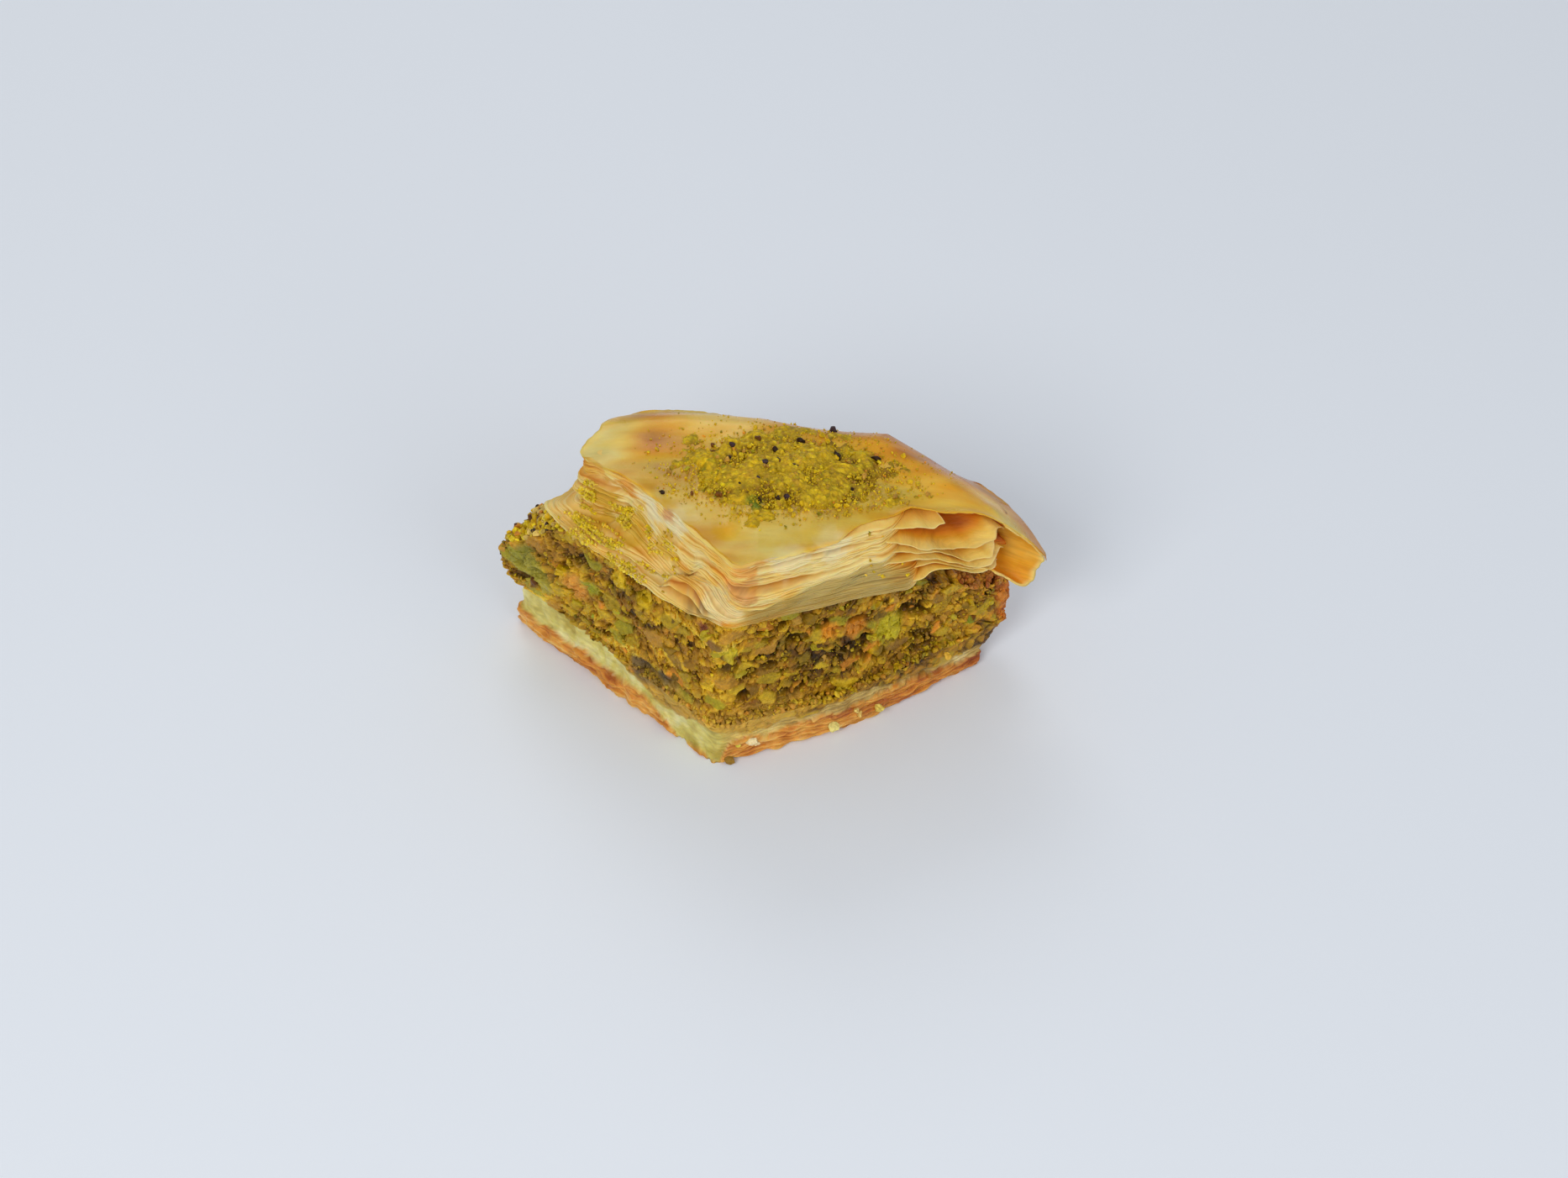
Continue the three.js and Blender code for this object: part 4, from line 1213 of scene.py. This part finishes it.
def food_material(name, mottle, bump, rough_range, **values):
    """A material that shows the piece's own colours under fine mottling. Mottle is (scale, stretch,
    low, high) and bump is (scale, stretch, distance in metres)."""
    material, tree, shader = new_material(name)
    tint = node(tree, "ShaderNodeAttribute", attribute_name="tint").outputs["Color"]
    scale, stretch, low, high = mottle
    shade = spread(tree, noise(tree, scale, 4, stretch), low, high)
    shaded_tint = node(tree, "ShaderNodeVectorMath", {0: tint, "Scale": shade}, operation="SCALE")
    tree.links.new(shaded_tint.outputs["Vector"], shader.inputs["Base Color"])
    tree.links.new(spread(tree, noise(tree, 260, 3), *rough_range), shader.inputs["Roughness"])
    scale, stretch, distance = bump
    height = noise(tree, scale, 4, stretch)
    made = node(tree, "ShaderNodeBump", {"Height": height, "Distance": distance, "Strength": 0.7})
    tree.links.new(made.outputs["Normal"], shader.inputs["Normal"])
    for key, value in values.items():
        shader.inputs[key.replace("_", " ")].default_value = value
    return material


def make_materials():
    glow = {"Subsurface_Radius": (1.0, 0.55, 0.2)}
    sheets = food_material(
        "pastry_sheets", (420, (0.5, 0.5, 6), 0.86, 1.1), (1500, (0.6, 0.6, 3), 0.00012), (0.3, 0.5),
        Subsurface_Weight=0.4, Subsurface_Scale=0.0015, Specular_IOR_Level=0.15, **glow)
    top = food_material(
        "top_sheet", (520, (0.3, 1, 1), 0.9, 1.08), (420, (0.3, 1, 1), 0.00025), (0.18, 0.4),
        Subsurface_Weight=0.35, Subsurface_Scale=0.0018, Coat_Weight=0.08, Coat_Roughness=0.18,
        Specular_IOR_Level=0.2, **glow)
    base = food_material(
        "base_pastry", (900, (0.7, 0.7, 2), 0.82, 1.12), (1600, (0.7, 0.7, 2), 0.0003), (0.25, 0.5),
        Subsurface_Weight=0.3, Subsurface_Scale=0.0015, Coat_Weight=0.15, Coat_Roughness=0.2,
        Specular_IOR_Level=0.25, **glow)
    nuts = food_material(
        "nuts", (1700, (1, 1, 1), 0.75, 1.2), (2200, (1, 1, 1), 0.0003), (0.3, 0.55),
        Subsurface_Weight=0.15, Subsurface_Scale=0.0008, Specular_IOR_Level=0.25, **glow)
    return sheets, top, base, nuts


def floor_material():
    material, _, shader = new_material("floor")
    shader.inputs["Base Color"].default_value = FLOOR_COLOUR
    shader.inputs["Roughness"].default_value = 0.5
    shader.inputs["Specular IOR Level"].default_value = 0.15
    return material


# Put together.


def dress(piece, material, node_name):
    piece.data.materials.append(material)
    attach(piece, "root")
    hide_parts(node_name)


def build():
    sheets, top, base, nuts = make_materials()
    dress(make_base(), base, "bottom_phyllo")
    dress(make_crust_crumbs(), nuts, "bottom_phyllo")
    side = filling_surface(*FILLING_GRID)
    dress(make_filling_paste(side), nuts, "pistachio_filling")
    for piece in (*make_filling_nuts(side), make_tip_crumbs()):
        dress(piece, nuts, "pistachio_filling")
    stack, stack_rings = make_stack()
    dress(stack, sheets, "top_phyllo")
    dress(make_leaves(), sheets, "top_phyllo")
    dress(make_tip_roll(), sheets, "top_phyllo")
    dress(make_top_sheet(), top, "top_phyllo")
    for piece in (make_top_dust(), *make_top_nuts(stack_rings)):
        dress(piece, nuts, "top_phyllo")


# The studio.

PHOTO_WIDTH = 1866
FOCAL_PIXELS = 4200
CAMERA_DISTANCE = 0.4956
CAMERA_ELEVATION = math.radians(44.7)
SENSOR_WIDTH = 36
TARGET = Vector((0.0023, 0.0148, 0.0))

FLOOR_REACH = 2000.0
FLOOR_COLOUR = (0.86, 0.91, 0.98, 1)
SKY_COLOUR = (0.95, 0.97, 1.0, 1)
SKY_STRENGTH = 0.42

# Square area lights, as (name, place, width, power, colour), all turned towards one point.
LIGHTS = (
    ("key", (-0.3, -0.55, 0.5), 0.35, 2.4, (1.0, 0.98, 0.95)),
    ("back", (-0.12, 0.55, 0.5), 0.35, 0.8, (1, 1, 1)),
    ("fill", (0.45, -0.45, 0.35), 0.5, 1.0, (0.97, 0.98, 1.0)),
)
LIT_POINT = Vector((0, 0, 0.015))


def make_camera():
    data = bpy.data.cameras.new("camera")
    data.sensor_width = SENSOR_WIDTH
    data.lens = SENSOR_WIDTH * FOCAL_PIXELS / PHOTO_WIDTH
    data.clip_start = 0.01
    camera = bpy.data.objects.new("camera", data)
    way = Vector((0, -math.cos(CAMERA_ELEVATION), math.sin(CAMERA_ELEVATION)))
    camera.location = TARGET + CAMERA_DISTANCE * way
    camera.rotation_euler = (math.pi / 2 - CAMERA_ELEVATION, 0, 0)
    bpy.context.scene.collection.objects.link(camera)
    bpy.context.scene.camera = camera


def make_light(name, place, width, power, colour):
    data = bpy.data.lights.new(name, "AREA")
    data.shape = "SQUARE"
    data.size = width
    data.energy = power
    data.color = colour
    light = bpy.data.objects.new(name, data)
    light.location = place
    light.rotation_euler = (LIT_POINT - light.location).to_track_quat("-Z", "Y").to_euler()
    bpy.context.scene.collection.objects.link(light)


def make_studio():
    scene = bpy.context.scene
    scene.view_settings.view_transform = "Standard"
    signs = ((-1, -1), (1, -1), (1, 1), (-1, 1))
    corners = [(x * FLOOR_REACH, y * FLOOR_REACH, 0) for x, y in signs]
    floor = new_object("floor", corners, [[0, 1, 2, 3]])
    floor.data.materials.append(floor_material())
    world = bpy.data.worlds.new("world")
    world.use_nodes = True
    background = world.node_tree.nodes["Background"]
    background.inputs["Color"].default_value = SKY_COLOUR
    background.inputs["Strength"].default_value = SKY_STRENGTH
    scene.world = world
    for light in LIGHTS:
        make_light(*light)


make_camera()
build()
make_studio()
